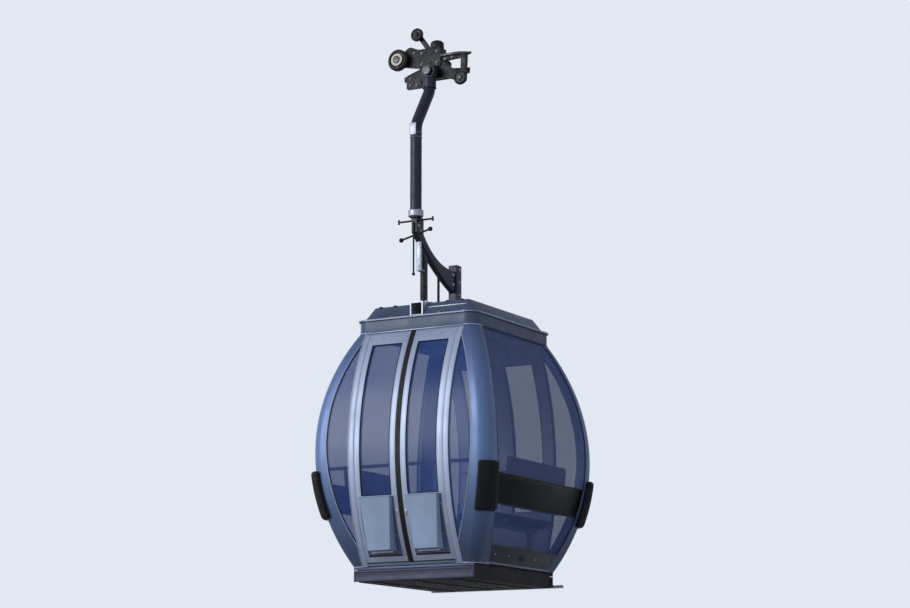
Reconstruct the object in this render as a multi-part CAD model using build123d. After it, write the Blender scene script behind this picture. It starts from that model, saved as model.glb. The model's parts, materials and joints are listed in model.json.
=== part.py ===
"""Cable car cabin: a bowed eight-seat gondola cabin on its hanger arm, with the detachable rope grip.

Millimetres. The rope's axis is the X axis, the doors face -Y and +Z is up. The origin is the middle
of the grip's jaw. Values named ..._H are heights above the sill, the lower edge of the cabin's
walls, and up() turns them into Z. The cabin is drawn about its own centre and then moved to CABIN_Y.
"""
from build123d import *
from functools import lru_cache
from math import cos, radians, sin, sqrt
import os

os.makedirs("parts", exist_ok=True)

# Clearances
FIT = 0.3              # between seated pieces
RUN = 0.05             # shaft in its bore, on the radius
GAP = 6.0              # moving piece to its neighbour
FAR = 3000.0           # half-size of a cutting block, past everything

# Cabin walls, bowed the same way in both directions
ROPE_TO_SILL = 4540.0
CABIN_Y = 320.0        # the cabin's centre, past the rope's plane on the side away from the arm
BODY_H = 2100.0        # sill to eave
HALF_X = 900.0         # half-length at the widest height
HALF_Y = 1030.0        # half-width at the widest height
BOW_R = 2120.0         # radius of the bow
WIDEST_H = 1025.0
CORNER_R = 115.0       # rounding of the four corners
WALL_T = 38.0
POST_W = 165.0         # corner post, along each face
POST_LIFT = 70.0       # its inner curves lie this much higher, so it narrows upward
PANE_T = 8.0
PANE_IN = 6.0          # pane's face behind the frame's face

# Door side
DOOR_HALF = 450.0      # the pair's half-width
DOOR_GAP = 44.0        # rubber between the leaves
DOOR_POST_W = 55.0
DOOR_FOOT_H = 30.0
DOOR_TOP_GAP = 8.0     # leaf to eave
STILE_W = 62.0
HEAD_W = 125.0         # leaf above its window
WINDOW_LOW_H = 600.0
SILL_T = 24.0
BAR_H = 860.0          # bars across the windows, inside
BAR_R = 16.0
BAR_IN = 49.0          # bar's axis behind the wall's outer face

# Ends: the heights where one panel meets the next
END_PANEL_H = 155.0
BELT_LOW_H = 508.0
BELT_TOP_H = 755.0
PAD_LOW_H = 425.0
PAD_TOP_H = 840.0
PAD_W_X = 75.0         # along the door side, from the corner
PAD_W_Y = 145.0        # along the end
PAD_T = 40.0

# Ski baskets on the doors: width, and how far the front stands out, at the rim and at the foot
BASKET_TOP_H = 590.0
BASKET_LOW_H = 125.0
BASKET_TOP_W = 312.0
BASKET_LOW_W = 228.0
BASKET_TOP_D = 46.0
BASKET_LOW_D = 112.0
BASKET_T = 5.0
RIM_W = 9.0
RIM_T = 8.0

# Floor
PAN_HALF_X = 606.0
PAN_HALF_Y = 746.0
PAN_T = 132.0
PAN_R = 60.0
PAN_SLOPE = 8.0
FLOOR_T = 30.0
GUIDE_R = 14.0         # bar along the pan's back edge
GUIDE_HALF = 690.0
GUIDE_OUT = 28.0       # pan's edge to the bar's surface
GUIDE_STAY = 400.0
STAY_W = 40.0
STAY_T = 16.0

# Benches, one at each end
SEATS = 4              # on each bench
SEAT_H = 450.0
SEAT_T = 55.0
SEAT_DEPTH = 400.0
SEAT_PITCH = 272.0
SEAT_W = 256.0
SEAT_R = 22.0
SEAT_OFF = 50.0        # seat's back edge to the wall
BACK_LOW_H = 505.0
BACK_TOP_H = 930.0
BACK_T = 42.0
BENCH_BEAM = 46.0
LEG_IN = 110.0         # leg to the bench's end
RAIL_R = 15.0
RAIL_H = 1010.0
RAIL_OFF = 60.0        # grab rail's axis in from the back panel
RAIL_HALF = 440.0
RAIL_STAY_R = 9.0

# Roof
BAND_H = 108.0
BAND_OUT = 3.0
LIP_T = 16.0
LIP_OUT = 13.0
CAP_H = 124.0
CAP_IN = 26.0          # cap's foot inside the band's face
CAP_SLOPE = 38.0
CAP_T = 8.0
CEILING_T = 15.0
BEAM_W = 130.0
BEAM_T = 11.0
BEAM_IN = 9.0          # beam's ends inside the cap's foot
PLATE_OFF = 7.0        # plate from the beam's side
PLATE_IN_X = 104.0     # plate's faces inside the cap's foot
PLATE_IN_Y = (114.0, 59.0)
PLATE_T = 84.0

# Hanger arm
ARM_R = 52.5
ARM_T = 8.0
ARM_Y = -400.0         # straight part, beside the rope
HEAD_Y = -160.0
ARM_TOP_Z = -80.0
BEND_TOP_Z = -195.0
BEND_LOW_Z = -560.0
BEND_TOP_R = 95.0
BEND_LOW_R = 220.0
ARM_END_Z = -1426.0
EYE_R = 72.0
EYE_W = 60.0
SOCKET_R = 62.0
SOCKET_Z = (-160.0, -60.0)
PIN_R = 30.0
PIN_HEAD = 14.0        # head beyond the shank, on the radius
COLLAR_R = 69.0
COLLAR_T = 58.0
SEAT_DIP = 10.0        # arm's end in the foot

# Suspension between the arm and the roof beam. Values named ..._Y count from the arm's axis.
FOOT_HALF = 27.0       # half-thickness, along the rope
FOOT_Y = (-30.0, 95.0)
FOOT_NECK_Z = -1560.0
FOOT_MID_Z = (-1818.0, -1728.0)
FOOT_MID = 0.45        # share of the way from arm to box at which the foot is FOOT_MID_Z high
FOOT_END_Z = (-2005.0, -1802.0)
BOX_HALF = 45.0
BOX_TOP_Z = -1740.0
PROP_HALF = 22.0
PROP_Y = (117.0, 180.0)
PROP_TOP_Z = -1650.0
STAY_POST_R = 12.0
STAY_POST_Y = 412.0
LINK_HALF = 25.0
LINK_T = 12.0
LINK_Y = 52.0
LINK_Z = (-1900.0, -1600.0)
CONTACT_R = 8.0
CONTACT_Z = (-1946.0, -1470.0)
CONTACT_KNOB_R = 15.0
KNOB_R = 21.0
CROSS_R = 9.0
# Cross bars: Z, tilt in degrees, half-length
CROSS_BARS = ((-1450.0, 0.0, 176.0), (-1579.0, 14.0, 155.0))

# Grip
ROPE_R = 25.0
JAW_HALF = 150.0
JAW_R = 48.0           # outside of both jaws
JAW_BACK = -80.0
FIXED_ARC = (102.0, 244.0)     # degrees round the rope from +Y
MOVING_ARC = (-97.0, 64.0)
NOSE_L = 195.0
NOSE_TIP_R = 31.0
CORE_X = (-150.0, 88.0)
CORE_Y = (-110.0, 0.0)
CORE_Z = (56.0, 240.0)
CORE_R = 18.0
CHEEK_X = -290.0
CHEEK_Z = (-118.0, 40.0)
CHEEK_T = 24.0
JAW_PIN = (60.0, 110.0)        # Y, Z
JAW_PIN_R = 15.0
JAW_BOSS_R = 30.0
LUG_IN = 66.0
LUG_T = 26.0
LUG_R = 28.0
WEB_R = 11.0           # foot of the web that joins the boss to the moving jaw
WEB_CUT = 6.0
ARM_PLATE_Y = (-95.0, -50.0)
ARM_KNEE = (-244.0, 225.0, 54.0)   # X, Z, radius
ARM_ROOT_R = 80.0
# Wheels about Y: radius, width, hub radius, axle radius, (X, Y, Z)
TRACK_WHEEL = (100.0, 60.0, 50.0, 20.0, (-348.0, -135.0, 160.0))
GUIDE_ROLLER = (63.0, 38.0, 28.0, 12.0, (306.0, -123.0, -92.0))
LEVER_ROLLER = (60.0, 40.0, 26.0, 14.0, (-236.0, 18.0, 430.0))
LEVER_T = 24.0
LEVER_FOOT_R = 22.0
BOSS_WALL = 8.0
TOWER_R = 62.0
TOWER_X = 22.0
TOWER_Y = -55.0
TOWER_TOP_Z = 310.0
TOWER_DOME = 30.0
TAIL_X = 320.0         # end of the bracket towards +X
TAIL_Z = (112.0, 143.0)
TAIL_END_R = 24.0
TAIL_ROOT_R = 30.0
TAIL_HOLE_R = 16.0
TAIL_HOLE_IN = 45.0
TAIL_HOLE_Z = (92.0, 100.0, -10.0)   # beside the core, at the tail's end, by the roller
PLATE_TIP_X = 384.0
FRICTION_T = 22.0
FRICTION_Y = (-115.0, 12.0)


def up(height):
    return height - ROPE_TO_SILL


def bow(height):
    """How far the walls lean in at a height above the sill."""
    return BOW_R - sqrt(BOW_R ** 2 - (height - WIDEST_H) ** 2)


def block(x, y, z):
    """A box between two values on each axis."""
    middle = Pos((x[0] + x[1]) / 2, (y[0] + y[1]) / 2, (z[0] + z[1]) / 2)
    return middle * Box(abs(x[1] - x[0]), abs(y[1] - y[0]), abs(z[1] - z[0]))


def layer(low, high, x=(-FAR, FAR), y=(-FAR, FAR)):
    """A box between two heights above the sill."""
    return block(x, y, (up(low), up(high)))


def rod(axis, r, span, at):
    """A cylinder along one axis. at gives the other two places, in X, Y, Z order."""
    length, middle = span[1] - span[0], (span[0] + span[1]) / 2
    if axis == "X":
        return Pos(middle, *at) * Rot(0, 90, 0) * Cylinder(r, length)
    if axis == "Y":
        return Pos(at[0], middle, at[1]) * Rot(90, 0, 0) * Cylinder(r, length)
    return Pos(*at, middle) * Cylinder(r, length)


def bridge(*circles):
    """The flat outline that wraps circles given as (u, v, r)."""
    edges = []
    for u, v, r in circles:
        edges.extend((Pos(u, v) * Circle(r)).edges())
    return make_hull(edges)


def plate_y(outline, y):
    """An outline drawn in X and Z, made solid between two values of Y."""
    return Pos(0, (y[0] + y[1]) / 2, 0) * extrude(Plane.XZ * outline, amount=(y[1] - y[0]) / 2, both=True)


def plate_x(outline, half):
    """An outline drawn in Y and Z, made solid to both sides of the rope's middle."""
    return extrude(Plane.YZ * outline, amount=half, both=True)


def save(name, *solids):
    shape = solids[0] if len(solids) == 1 else Compound(list(solids))
    export_step(shape, f"parts/{name}.step")


def save_cabin(name, *solids):
    save(name, *[Pos(0, CABIN_Y, 0) * solid for solid in solids])


@lru_cache(maxsize=None)
def barrel(axis, inset, over=0.0, lift=0.0):
    """The region between two opposite bowed walls, moved in by inset and its bow raised by lift."""
    half = HALF_X if axis == "X" else HALF_Y
    plane = Plane.XZ if axis == "X" else Plane.YZ
    heights = (-over, BODY_H / 2, BODY_H + over)
    side = [(half - BOW_R + sqrt((BOW_R - inset) ** 2 - (h - lift - WIDEST_H) ** 2), up(h)) for h in heights]
    other = [(-u, z) for u, z in side]
    outline = [ThreePointArc(*side), Line(side[2], other[2]), ThreePointArc(*other), Line(other[0], side[0])]
    return extrude(plane * make_face(outline), amount=FAR / 2, both=True)


@lru_cache(maxsize=None)
def envelope(inset, over=0.0):
    """The cabin's whole bowed form with rounded corners, moved in by inset."""
    form = barrel("X", inset, over) & barrel("Y", inset, over)
    corners = [edge for edge in form.edges() if abs((edge @ 0).Z - (edge @ 1).Z) > 1]
    return fillet(corners, CORNER_R - inset)


@lru_cache(maxsize=None)
def skin(outer, inner):
    """The wall between two insets."""
    return envelope(outer) - envelope(inner, 1.0)


@lru_cache(maxsize=None)
def inside_posts(axis, play=0.0):
    """The region between the corner posts on the walls across one axis."""
    return barrel(axis, POST_W + play, 1.0, POST_LIFT)


WALL = skin(0.0, WALL_T)
GLASS = skin(PANE_IN, PANE_IN + PANE_T)
POST_OUT = DOOR_HALF + DOOR_POST_W
DOOR_TOP_H = BODY_H - DOOR_TOP_GAP
WINDOW_TOP_H = DOOR_TOP_H - HEAD_W
LEAF_MIDDLE = (DOOR_GAP / 2 + DOOR_HALF) / 2
DECK_H = BODY_H + BAND_H + LIP_T
BEAM_TOP_Z = up(DECK_H + BEAM_W)
CAP_X = HALF_X - bow(BODY_H) + BAND_OUT - CAP_IN    # cap's foot
CAP_Y = HALF_Y - bow(BODY_H) + BAND_OUT - CAP_IN
SIDES = {"door": -1, "back": 1}
ENDS = {"fore": 1, "aft": -1}


def facing(side):
    """The half of space on one side of the cabin's middle."""
    return block((-FAR, FAR), (0, side * FAR), (-2 * FAR, FAR))


def corner_posts():
    posts = WALL - inside_posts("X") - inside_posts("Y")
    for end, sx in ENDS.items():
        for side, sy in SIDES.items():
            corner = layer(0, BODY_H, (sx * (POST_OUT + FIT), sx * FAR), (0, sy * FAR))
            save_cabin(f"corner_post_{side}_{end}", posts & corner)


def door_frame():
    """The straight posts beside the doors, the sill, and the rubber between the leaves."""
    wall = WALL & facing(-1)
    save_cabin("door_posts", *[wall & layer(0, BODY_H, (sx * DOOR_HALF, sx * POST_OUT)) for sx in (-1, 1)])
    save_cabin("door_sill", wall & layer(0, SILL_T, (-DOOR_HALF + FIT, DOOR_HALF - FIT)))
    half = DOOR_GAP / 2 - FIT
    seal = skin(PANE_IN, WALL_T - PANE_IN) & facing(-1)
    save_cabin("door_seal", seal & layer(DOOR_FOOT_H, DOOR_TOP_H, (-half, half)))


def window(sx, play=0.0):
    """The opening cut in one leaf, smaller by the play on every side."""
    low, high = DOOR_GAP / 2 + STILE_W + play, DOOR_HALF - STILE_W - play
    return layer(WINDOW_LOW_H + play, WINDOW_TOP_H - play, (sx * low, sx * high))


def doors():
    wall, glass = WALL & facing(-1), GLASS & facing(-1)
    for end, sx in ENDS.items():
        leaf = layer(DOOR_FOOT_H, DOOR_TOP_H, (sx * DOOR_GAP / 2, sx * (DOOR_HALF - FIT)))
        save_cabin(f"door_{end}", (wall & leaf) - window(sx))
    save_cabin("door_panes", *[glass & window(sx, FIT) for sx in (-1, 1)])


def window_bars():
    """A bar across each leaf's window and across each pointed window, on the inside."""
    y = -(HALF_Y - bow(BAR_H) - BAR_IN)
    leaf = (DOOR_GAP / 2 + STILE_W / 2, DOOR_HALF - STILE_W / 2)
    post = (DOOR_HALF + DOOR_POST_W / 2, HALF_X - bow(BAR_H) - POST_W + BAR_R)
    bars = []
    for sx in (-1, 1):
        for low, high in (leaf, post):
            bar = rod("X", BAR_R, sorted((sx * low, sx * high)), (y, up(BAR_H)))
            for x in (low + BAR_R, high - BAR_R):
                bar = bar + rod("Y", BAR_R / 2, (y - BAR_IN, y), (sx * x, up(BAR_H)))
            bars.append(bar - envelope(-PAD_T) + (bar & envelope(WALL_T + FIT)))
    save_cabin("window_bars", *bars)


def basket_form(inset, over=0.0):
    """The basket's tapered form, moved in by inset, reaching into the door behind it."""
    sections = []
    for height, width, depth in ((BASKET_LOW_H, BASKET_LOW_W, BASKET_LOW_D),
                                 (BASKET_TOP_H, BASKET_TOP_W, BASKET_TOP_D)):
        door = -(HALF_Y - bow(height))
        front, back = door - depth + inset, door + WALL_T
        outline = Rectangle(width - 2 * inset, back - front)
        sections.append(Pos(0, (front + back) / 2, up(height) + over) * outline)
    return loft(sections)


def ski_baskets():
    """Sheet pockets open at the top, with a folded rim round the mouth."""
    form = basket_form(0) + (basket_form(-RIM_W) & layer(BASKET_TOP_H - RIM_T, BASKET_TOP_H))
    basket = form - basket_form(BASKET_T, BASKET_T) - envelope(-FIT, 1.0)
    save_cabin("ski_baskets", *[Pos(sx * LEAF_MIDDLE, 0, 0) * basket for sx in (-1, 1)])


def lens_panes():
    """The pointed windows between a straight post and a bowed corner post."""
    for side, sy in SIDES.items():
        glass = GLASS & inside_posts("X", FIT) & facing(sy)
        panes = [glass & layer(FIT, BODY_H - FIT, (sx * (POST_OUT + FIT), sx * FAR)) for sx in (-1, 1)]
        save_cabin(f"lens_panes_{side}", *panes)


def back_wall():
    glass = GLASS & facing(1)
    panel = WALL & facing(1) & layer(0, BODY_H, (-POST_OUT, POST_OUT))
    save_cabin("back_panel", panel - window(-1) - window(1))
    save_cabin("back_panes", *[glass & window(sx, FIT) for sx in (-1, 1)])


def ends():
    """Each end, from the sill up: panel, lower pane, belt and upper pane."""
    # node, wall it is cut from, low height, high height
    rows = (("end_panels", WALL, 0.0, END_PANEL_H),
            ("end_panes_lower", GLASS, END_PANEL_H + FIT, BELT_LOW_H - FIT),
            ("end_belts", WALL, BELT_LOW_H, BELT_TOP_H),
            ("end_panes_upper", GLASS, BELT_TOP_H + FIT, BODY_H - FIT))
    for name, wall, low, high in rows:
        row = wall & inside_posts("Y", FIT) & layer(low, high)
        save_cabin(name, *[row & layer(low, high, (sx * (POST_OUT + FIT), sx * FAR)) for sx in (-1, 1)])


def corner_pads():
    """Black buffers that wrap the four corners at the belt's height."""
    ring = envelope(-PAD_T, 1.0) - envelope(-FIT, 2.0)
    ring = (ring & layer(PAD_LOW_H, PAD_TOP_H)) - barrel("X", PAD_W_X, 1.0) - barrel("Y", PAD_W_Y, 1.0)
    save_cabin("corner_pads", *ring.solids())


def floor():
    outline = RectangleRounded(2 * PAN_HALF_X, 2 * PAN_HALF_Y, PAN_R)
    pan = extrude(Pos(0, 0, up(0)) * outline, amount=-PAN_T, taper=PAN_SLOPE)
    save_cabin("floor_pan", pan)
    save_cabin("floor", envelope(WALL_T + FIT) & layer(0, FLOOR_T))
    y, z = PAN_HALF_Y + GUIDE_OUT + GUIDE_R, up(-PAN_T) + GUIDE_R
    bar = rod("X", GUIDE_R, (-GUIDE_HALF, GUIDE_HALF), (y, z))
    for x in (-GUIDE_STAY, GUIDE_STAY):
        stay = ((x - STAY_W / 2, x + STAY_W / 2), (PAN_HALF_Y - PAN_T, y), (z - STAY_T / 2, z + STAY_T / 2))
        bar = bar + block(*stay)
    save_cabin("guide_bar", bar - pan)


def benches():
    cushions, backs, frames = [], [], []
    bench_half = SEATS * SEAT_PITCH / 2
    back_skin = skin(WALL_T + FIT, WALL_T + BACK_T)
    wall_x = HALF_X - bow(SEAT_H) - WALL_T - SEAT_OFF
    beam_x = wall_x - SEAT_DEPTH / 2
    under = SEAT_H - SEAT_T
    for sx in (-1, 1):
        for number in range(SEATS):
            y = (number - (SEATS - 1) / 2) * SEAT_PITCH
            width = (y - SEAT_W / 2, y + SEAT_W / 2)
            cushion = layer(under, SEAT_H, (sx * (wall_x - SEAT_DEPTH), sx * wall_x), width)
            cushions.append(fillet(cushion.edges().filter_by(Axis.Y).group_by(Axis.Z)[-1], SEAT_R))
            backs.append(back_skin & layer(BACK_LOW_H, BACK_TOP_H, (0, sx * FAR), width))
        beam = (sx * (beam_x - BENCH_BEAM / 2), sx * (beam_x + BENCH_BEAM / 2))
        frame = layer(under - BENCH_BEAM, under, beam, (-bench_half, bench_half))
        for y in (-bench_half + LEG_IN, bench_half - LEG_IN):
            frame = frame + layer(FLOOR_T, under, beam, (y - BENCH_BEAM / 2, y + BENCH_BEAM / 2))
            behind = (sx * beam_x, sx * (HALF_X - bow(under) - WALL_T + BENCH_BEAM))
            shelf = layer(under - BENCH_BEAM / 2, under, behind, (y - BENCH_BEAM / 2, y + BENCH_BEAM / 2))
            frame = frame + (shelf & envelope(WALL_T + FIT))
        frames.append(frame)
    save_cabin("seat_cushions", *cushions)
    save_cabin("seat_backs", *backs)
    save_cabin("bench_frames", *frames)


def grab_rail():
    y = HALF_Y - bow(RAIL_H) - WALL_T - RAIL_OFF
    rail = rod("X", RAIL_R, (-RAIL_HALF, RAIL_HALF), (y, up(RAIL_H)))
    for x in (STILE_W / 2 - RAIL_HALF, 0, RAIL_HALF - STILE_W / 2):
        rail = rail + rod("Y", RAIL_STAY_R, (y, y + RAIL_OFF + WALL_T), (x, up(RAIL_H)))
    save_cabin("grab_rail", rail & envelope(WALL_T + FIT))


def rounded(half_x, half_y, height, r=CORNER_R):
    return Pos(0, 0, up(height)) * RectangleRounded(2 * half_x, 2 * half_y, r)


def roof():
    half_x, half_y = HALF_X - bow(BODY_H) + BAND_OUT, HALF_Y - bow(BODY_H) + BAND_OUT
    band = extrude(rounded(half_x, half_y, BODY_H), amount=BAND_H)
    hollow = rounded(half_x - WALL_T, half_y - WALL_T, BODY_H, CORNER_R - WALL_T)
    save_cabin("roof_band", band - extrude(hollow, amount=BAND_H))
    deck = rounded(half_x + LIP_OUT, half_y + LIP_OUT, DECK_H - LIP_T)
    save_cabin("roof_deck", extrude(deck, amount=LIP_T))
    cap = extrude(rounded(CAP_X, CAP_Y, DECK_H), amount=CAP_H, taper=CAP_SLOPE)
    hollow = rounded(CAP_X - CAP_T, CAP_Y - CAP_T, DECK_H, CORNER_R - CAP_T)
    cap = cap - extrude(hollow, amount=CAP_H - CAP_T, taper=CAP_SLOPE)
    cap = cap - layer(DECK_H, DECK_H + 2 * BEAM_W, (-BEAM_W / 2 - FIT, BEAM_W / 2 + FIT))
    plate = block((BEAM_W / 2 + PLATE_OFF, CAP_X - PLATE_IN_X), (PLATE_IN_Y[0] - CAP_Y, PLATE_IN_Y[1] - CAP_Y),
                  (up(DECK_H), up(DECK_H) + PLATE_T))
    save_cabin("roof_cap", *[side for side in (cap - plate).solids() if side.volume > CAP_T ** 3])
    save_cabin("roof_plate", plate)
    save_cabin("ceiling", envelope(WALL_T + FIT) & layer(BODY_H - CEILING_T, BODY_H))
    inner = BEAM_W / 2 - BEAM_T
    beam = layer(DECK_H, DECK_H + BEAM_W, (-BEAM_W / 2, BEAM_W / 2), (BEAM_IN - CAP_Y, CAP_Y - BEAM_IN))
    save_cabin("cross_beam", beam - layer(DECK_H + BEAM_T, DECK_H + BEAM_W - BEAM_T, (-inner, inner)))


def hanger():
    path = FilletPolyline((0, HEAD_Y, ARM_TOP_Z), (0, HEAD_Y, BEND_TOP_Z), (0, ARM_Y, BEND_LOW_Z),
                          (0, ARM_Y, ARM_END_Z), radius=(BEND_TOP_R, BEND_LOW_R))
    section = Plane(path @ 0, z_dir=path % 0) * (Circle(ARM_R) - Circle(ARM_R - ARM_T))
    save("hanger_arm", sweep(section, path))
    eye = rod("Y", EYE_R, (HEAD_Y - EYE_W / 2, HEAD_Y + EYE_W / 2), (0, 0))
    head = eye + rod("Z", SOCKET_R, SOCKET_Z, (0, HEAD_Y)) - rod("Y", PIN_R + RUN, (-FAR, FAR), (0, 0))
    save("hanger_head", head - rod("Z", ARM_R + FIT, (-FAR, ARM_TOP_Z), (0, HEAD_Y)))
    collar = rod("Z", COLLAR_R, (ARM_END_Z + SEAT_DIP, ARM_END_Z + SEAT_DIP + COLLAR_T), (0, ARM_Y))
    save("hanger_collar", collar - rod("Z", ARM_R + FIT, (-FAR, FAR), (0, ARM_Y)))


def suspension():
    """The curved foot from the arm to the box over the cabin's middle, with its props and bars."""
    door_y, back_y, top_z = ARM_Y + FOOT_Y[0], ARM_Y + FOOT_Y[1], ARM_END_Z + SEAT_DIP
    box_y = CABIN_Y - BOX_HALF
    mid_y = ARM_Y + FOOT_MID * (box_y - ARM_Y)
    low = [(door_y, FOOT_NECK_Z), (mid_y, FOOT_MID_Z[0]), (box_y, FOOT_END_Z[0])]
    high = [(box_y, FOOT_END_Z[1]), (mid_y, FOOT_MID_Z[1]), (back_y, FOOT_NECK_Z)]
    outline = [Line((door_y, top_z), low[0]), ThreePointArc(*low), Line(low[2], high[0]),
               ThreePointArc(*high), Line(high[2], (back_y, top_z)), Line((back_y, top_z), (door_y, top_z))]
    foot = plate_x(make_face(outline), FOOT_HALF) - rod("Z", ARM_R + FIT, (ARM_END_Z, FAR), (0, ARM_Y))
    prop = block((-PROP_HALF, PROP_HALF), (ARM_Y + PROP_Y[0], ARM_Y + PROP_Y[1]), (BEAM_TOP_Z, PROP_TOP_Z))
    post = rod("Z", STAY_POST_R, (BEAM_TOP_Z, PROP_TOP_Z), (0, ARM_Y + STAY_POST_Y))
    link_y = ARM_Y + LINK_Y
    link = block((-LINK_HALF, LINK_HALF), (link_y, link_y + LINK_T), LINK_Z)
    link = link + block((-LINK_HALF, LINK_HALF), (link_y, ARM_Y + PROP_Y[0]), (LINK_Z[0], LINK_Z[0] + LINK_T))
    contact_y = door_y - CONTACT_R - FIT
    knob = Pos(0, contact_y, CONTACT_Z[0]) * Sphere(CONTACT_KNOB_R)
    contact = rod("Z", CONTACT_R, CONTACT_Z, (0, contact_y)) + knob
    bars = []
    for z, tilt, half in CROSS_BARS:
        place = Pos(0, ARM_Y, z) * Rot(0, -tilt, 0)
        bar = rod("X", CROSS_R, (-half, half), (0, 0))
        for x in (-half, half):
            bar = bar + Pos(x, 0, 0) * (Sphere(KNOB_R) if tilt else Cylinder(CROSS_R, 2 * KNOB_R))
        foot = foot - place * rod("X", CROSS_R + FIT, (-FAR, FAR), (0, 0))
        bars.append(place * bar)
    save("hanger_foot", foot)
    save("suspension_prop", *[lowest(piece - foot) for piece in (prop, post)])
    save("suspension_link", lowest(link - foot))
    save("contact_rod", contact)
    save("cross_bars", *bars)
    save("suspension_box", block((-BOX_HALF, BOX_HALF), (box_y, CABIN_Y + BOX_HALF), (BEAM_TOP_Z, BOX_TOP_Z)))


def lowest(shape):
    """The lowest solid of a shape that another one cuts in two."""
    return min(shape.solids(), key=lambda solid: solid.center().Z)


def wheel(r, width, hub_r, axle_r, at):
    """A wheel about Y, with its rim and hub thicker than its web."""
    rim_r, web, half = 0.75 * r, width / 4, width / 2
    bore_r = axle_r + RUN
    near = [(bore_r, half), (hub_r, half), (hub_r, web), (rim_r, web), (rim_r, half), (r - web, half), (r, web)]
    profile = near + [(u, -v) for u, v in reversed(near)]
    return Pos(*at) * revolve(make_face(Polyline(*profile, close=True)), Axis.Y)


def axle(spec, back_y):
    """The axle of one wheel, from its plate to a washer outside the hub."""
    width, axle_r, (x, y, z) = spec[1], spec[3], spec[4]
    outer = y - width / 2
    shaft = rod("Y", axle_r, (outer - FIT, back_y), (x, z))
    return shaft + rod("Y", 1.6 * axle_r, (outer - FIT - axle_r / 2, outer - FIT), (x, z))


def ring_part(arc, inner, outer):
    """A part of a ring round the rope's axis, in Y and Z, between two angles from +Y."""
    start, end = arc
    middle = (start + end) / 2
    spot = lambda r, a: (r * cos(radians(a)), r * sin(radians(a)))
    return make_face([ThreePointArc(spot(outer, start), spot(outer, middle), spot(outer, end)),
                      Line(spot(outer, end), spot(inner, end)),
                      ThreePointArc(spot(inner, end), spot(inner, middle), spot(inner, start)),
                      Line(spot(inner, start), spot(outer, start))])


def grip_frame():
    """The casting that holds the fixed jaw, the wheel arm, the tail bracket and the jaw's lugs."""
    core = block(CORE_X, CORE_Y, CORE_Z)
    core = fillet(core.edges().filter_by(Axis.Y), CORE_R)
    jaw = plate_x(ring_part(FIXED_ARC, ROPE_R, JAW_R), JAW_HALF)
    back = block((-JAW_HALF, JAW_HALF), (JAW_BACK, -ROPE_R - 2 * FIT), (-JAW_R, CORE_Z[0] + CORE_R))
    frame = core + jaw + (back - rod("X", JAW_R - RUN, (-FAR, FAR), (0, 0)))
    cheek = bridge((-JAW_HALF, CHEEK_Z[0] + CORE_R, CORE_R), (CHEEK_X + CORE_R, CHEEK_Z[0] + CORE_R, CORE_R),
                   (CHEEK_X + CORE_R, 0, CORE_R), (-JAW_HALF, CHEEK_Z[1], CORE_R))
    frame = frame + plate_y(cheek, (JAW_BACK, JAW_BACK + CHEEK_T))
    wheel_x, _, wheel_z = TRACK_WHEEL[4]
    roller_x, _, roller_z = GUIDE_ROLLER[4]
    core_mid = (CORE_Z[0] + CORE_Z[1]) / 2
    reach = ((wheel_x, wheel_z, TRACK_WHEEL[2]), ARM_KNEE, (CORE_X[0] + CORE_R, core_mid, ARM_ROOT_R))
    frame = frame + plate_y(bridge(*reach), ARM_PLATE_Y)
    root_x = CORE_X[1] - CORE_R
    tail = bridge((root_x, TAIL_Z[0], TAIL_Z[1] - TAIL_Z[0]), (TAIL_X, TAIL_Z[1] - TAIL_END_R, TAIL_END_R),
                  (roller_x, roller_z, GUIDE_ROLLER[2]), (root_x, 0, TAIL_ROOT_R))
    hole_x = (CORE_X[1] + TAIL_HOLE_IN, TAIL_X - TAIL_HOLE_IN, roller_x - TAIL_ROOT_R)
    hole = bridge(*[(x, z, TAIL_HOLE_R) for x, z in zip(hole_x, TAIL_HOLE_Z)])
    frame = frame + plate_y(tail - hole, ARM_PLATE_Y)
    for sx in (-1, 1):
        lug = bridge((*JAW_PIN, LUG_R), (CORE_Y[1] - LUG_R, JAW_PIN[1], LUG_R))
        frame = frame + Pos(sx * (LUG_IN + LUG_T / 2), 0, 0) * plate_x(lug, LUG_T / 2)
    frame = frame - rod("X", ROPE_R, (-FAR, FAR), (0, 0)) - rod("X", JAW_PIN_R + RUN, (-FAR, FAR), JAW_PIN)
    frame = frame - rod("Y", PIN_R + RUN, (-FAR, JAW_BACK + PIN_R), (0, 0))
    for spec in (TRACK_WHEEL, GUIDE_ROLLER):
        frame = frame - rod("Y", spec[3] + RUN, (-FAR, FAR), (spec[4][0], spec[4][2]))
    return frame


def noses():
    """Tapered half-round noses that lead the rope in and out of the jaw."""
    pieces = []
    for sx in (-1, 1):
        start, tip = sx * JAW_HALF, sx * (JAW_HALF + NOSE_L)
        bore = ROPE_R + FIT
        profile = make_face(Polyline((start, bore), (tip, bore), (tip, NOSE_TIP_R), (start, JAW_R), close=True))
        profile = Rot(FIXED_ARC[0] - 90, 0, 0) * (Plane.XZ * profile)
        pieces.append(revolve(profile, Axis.X, FIXED_ARC[1] - FIXED_ARC[0]))
    return pieces


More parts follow.
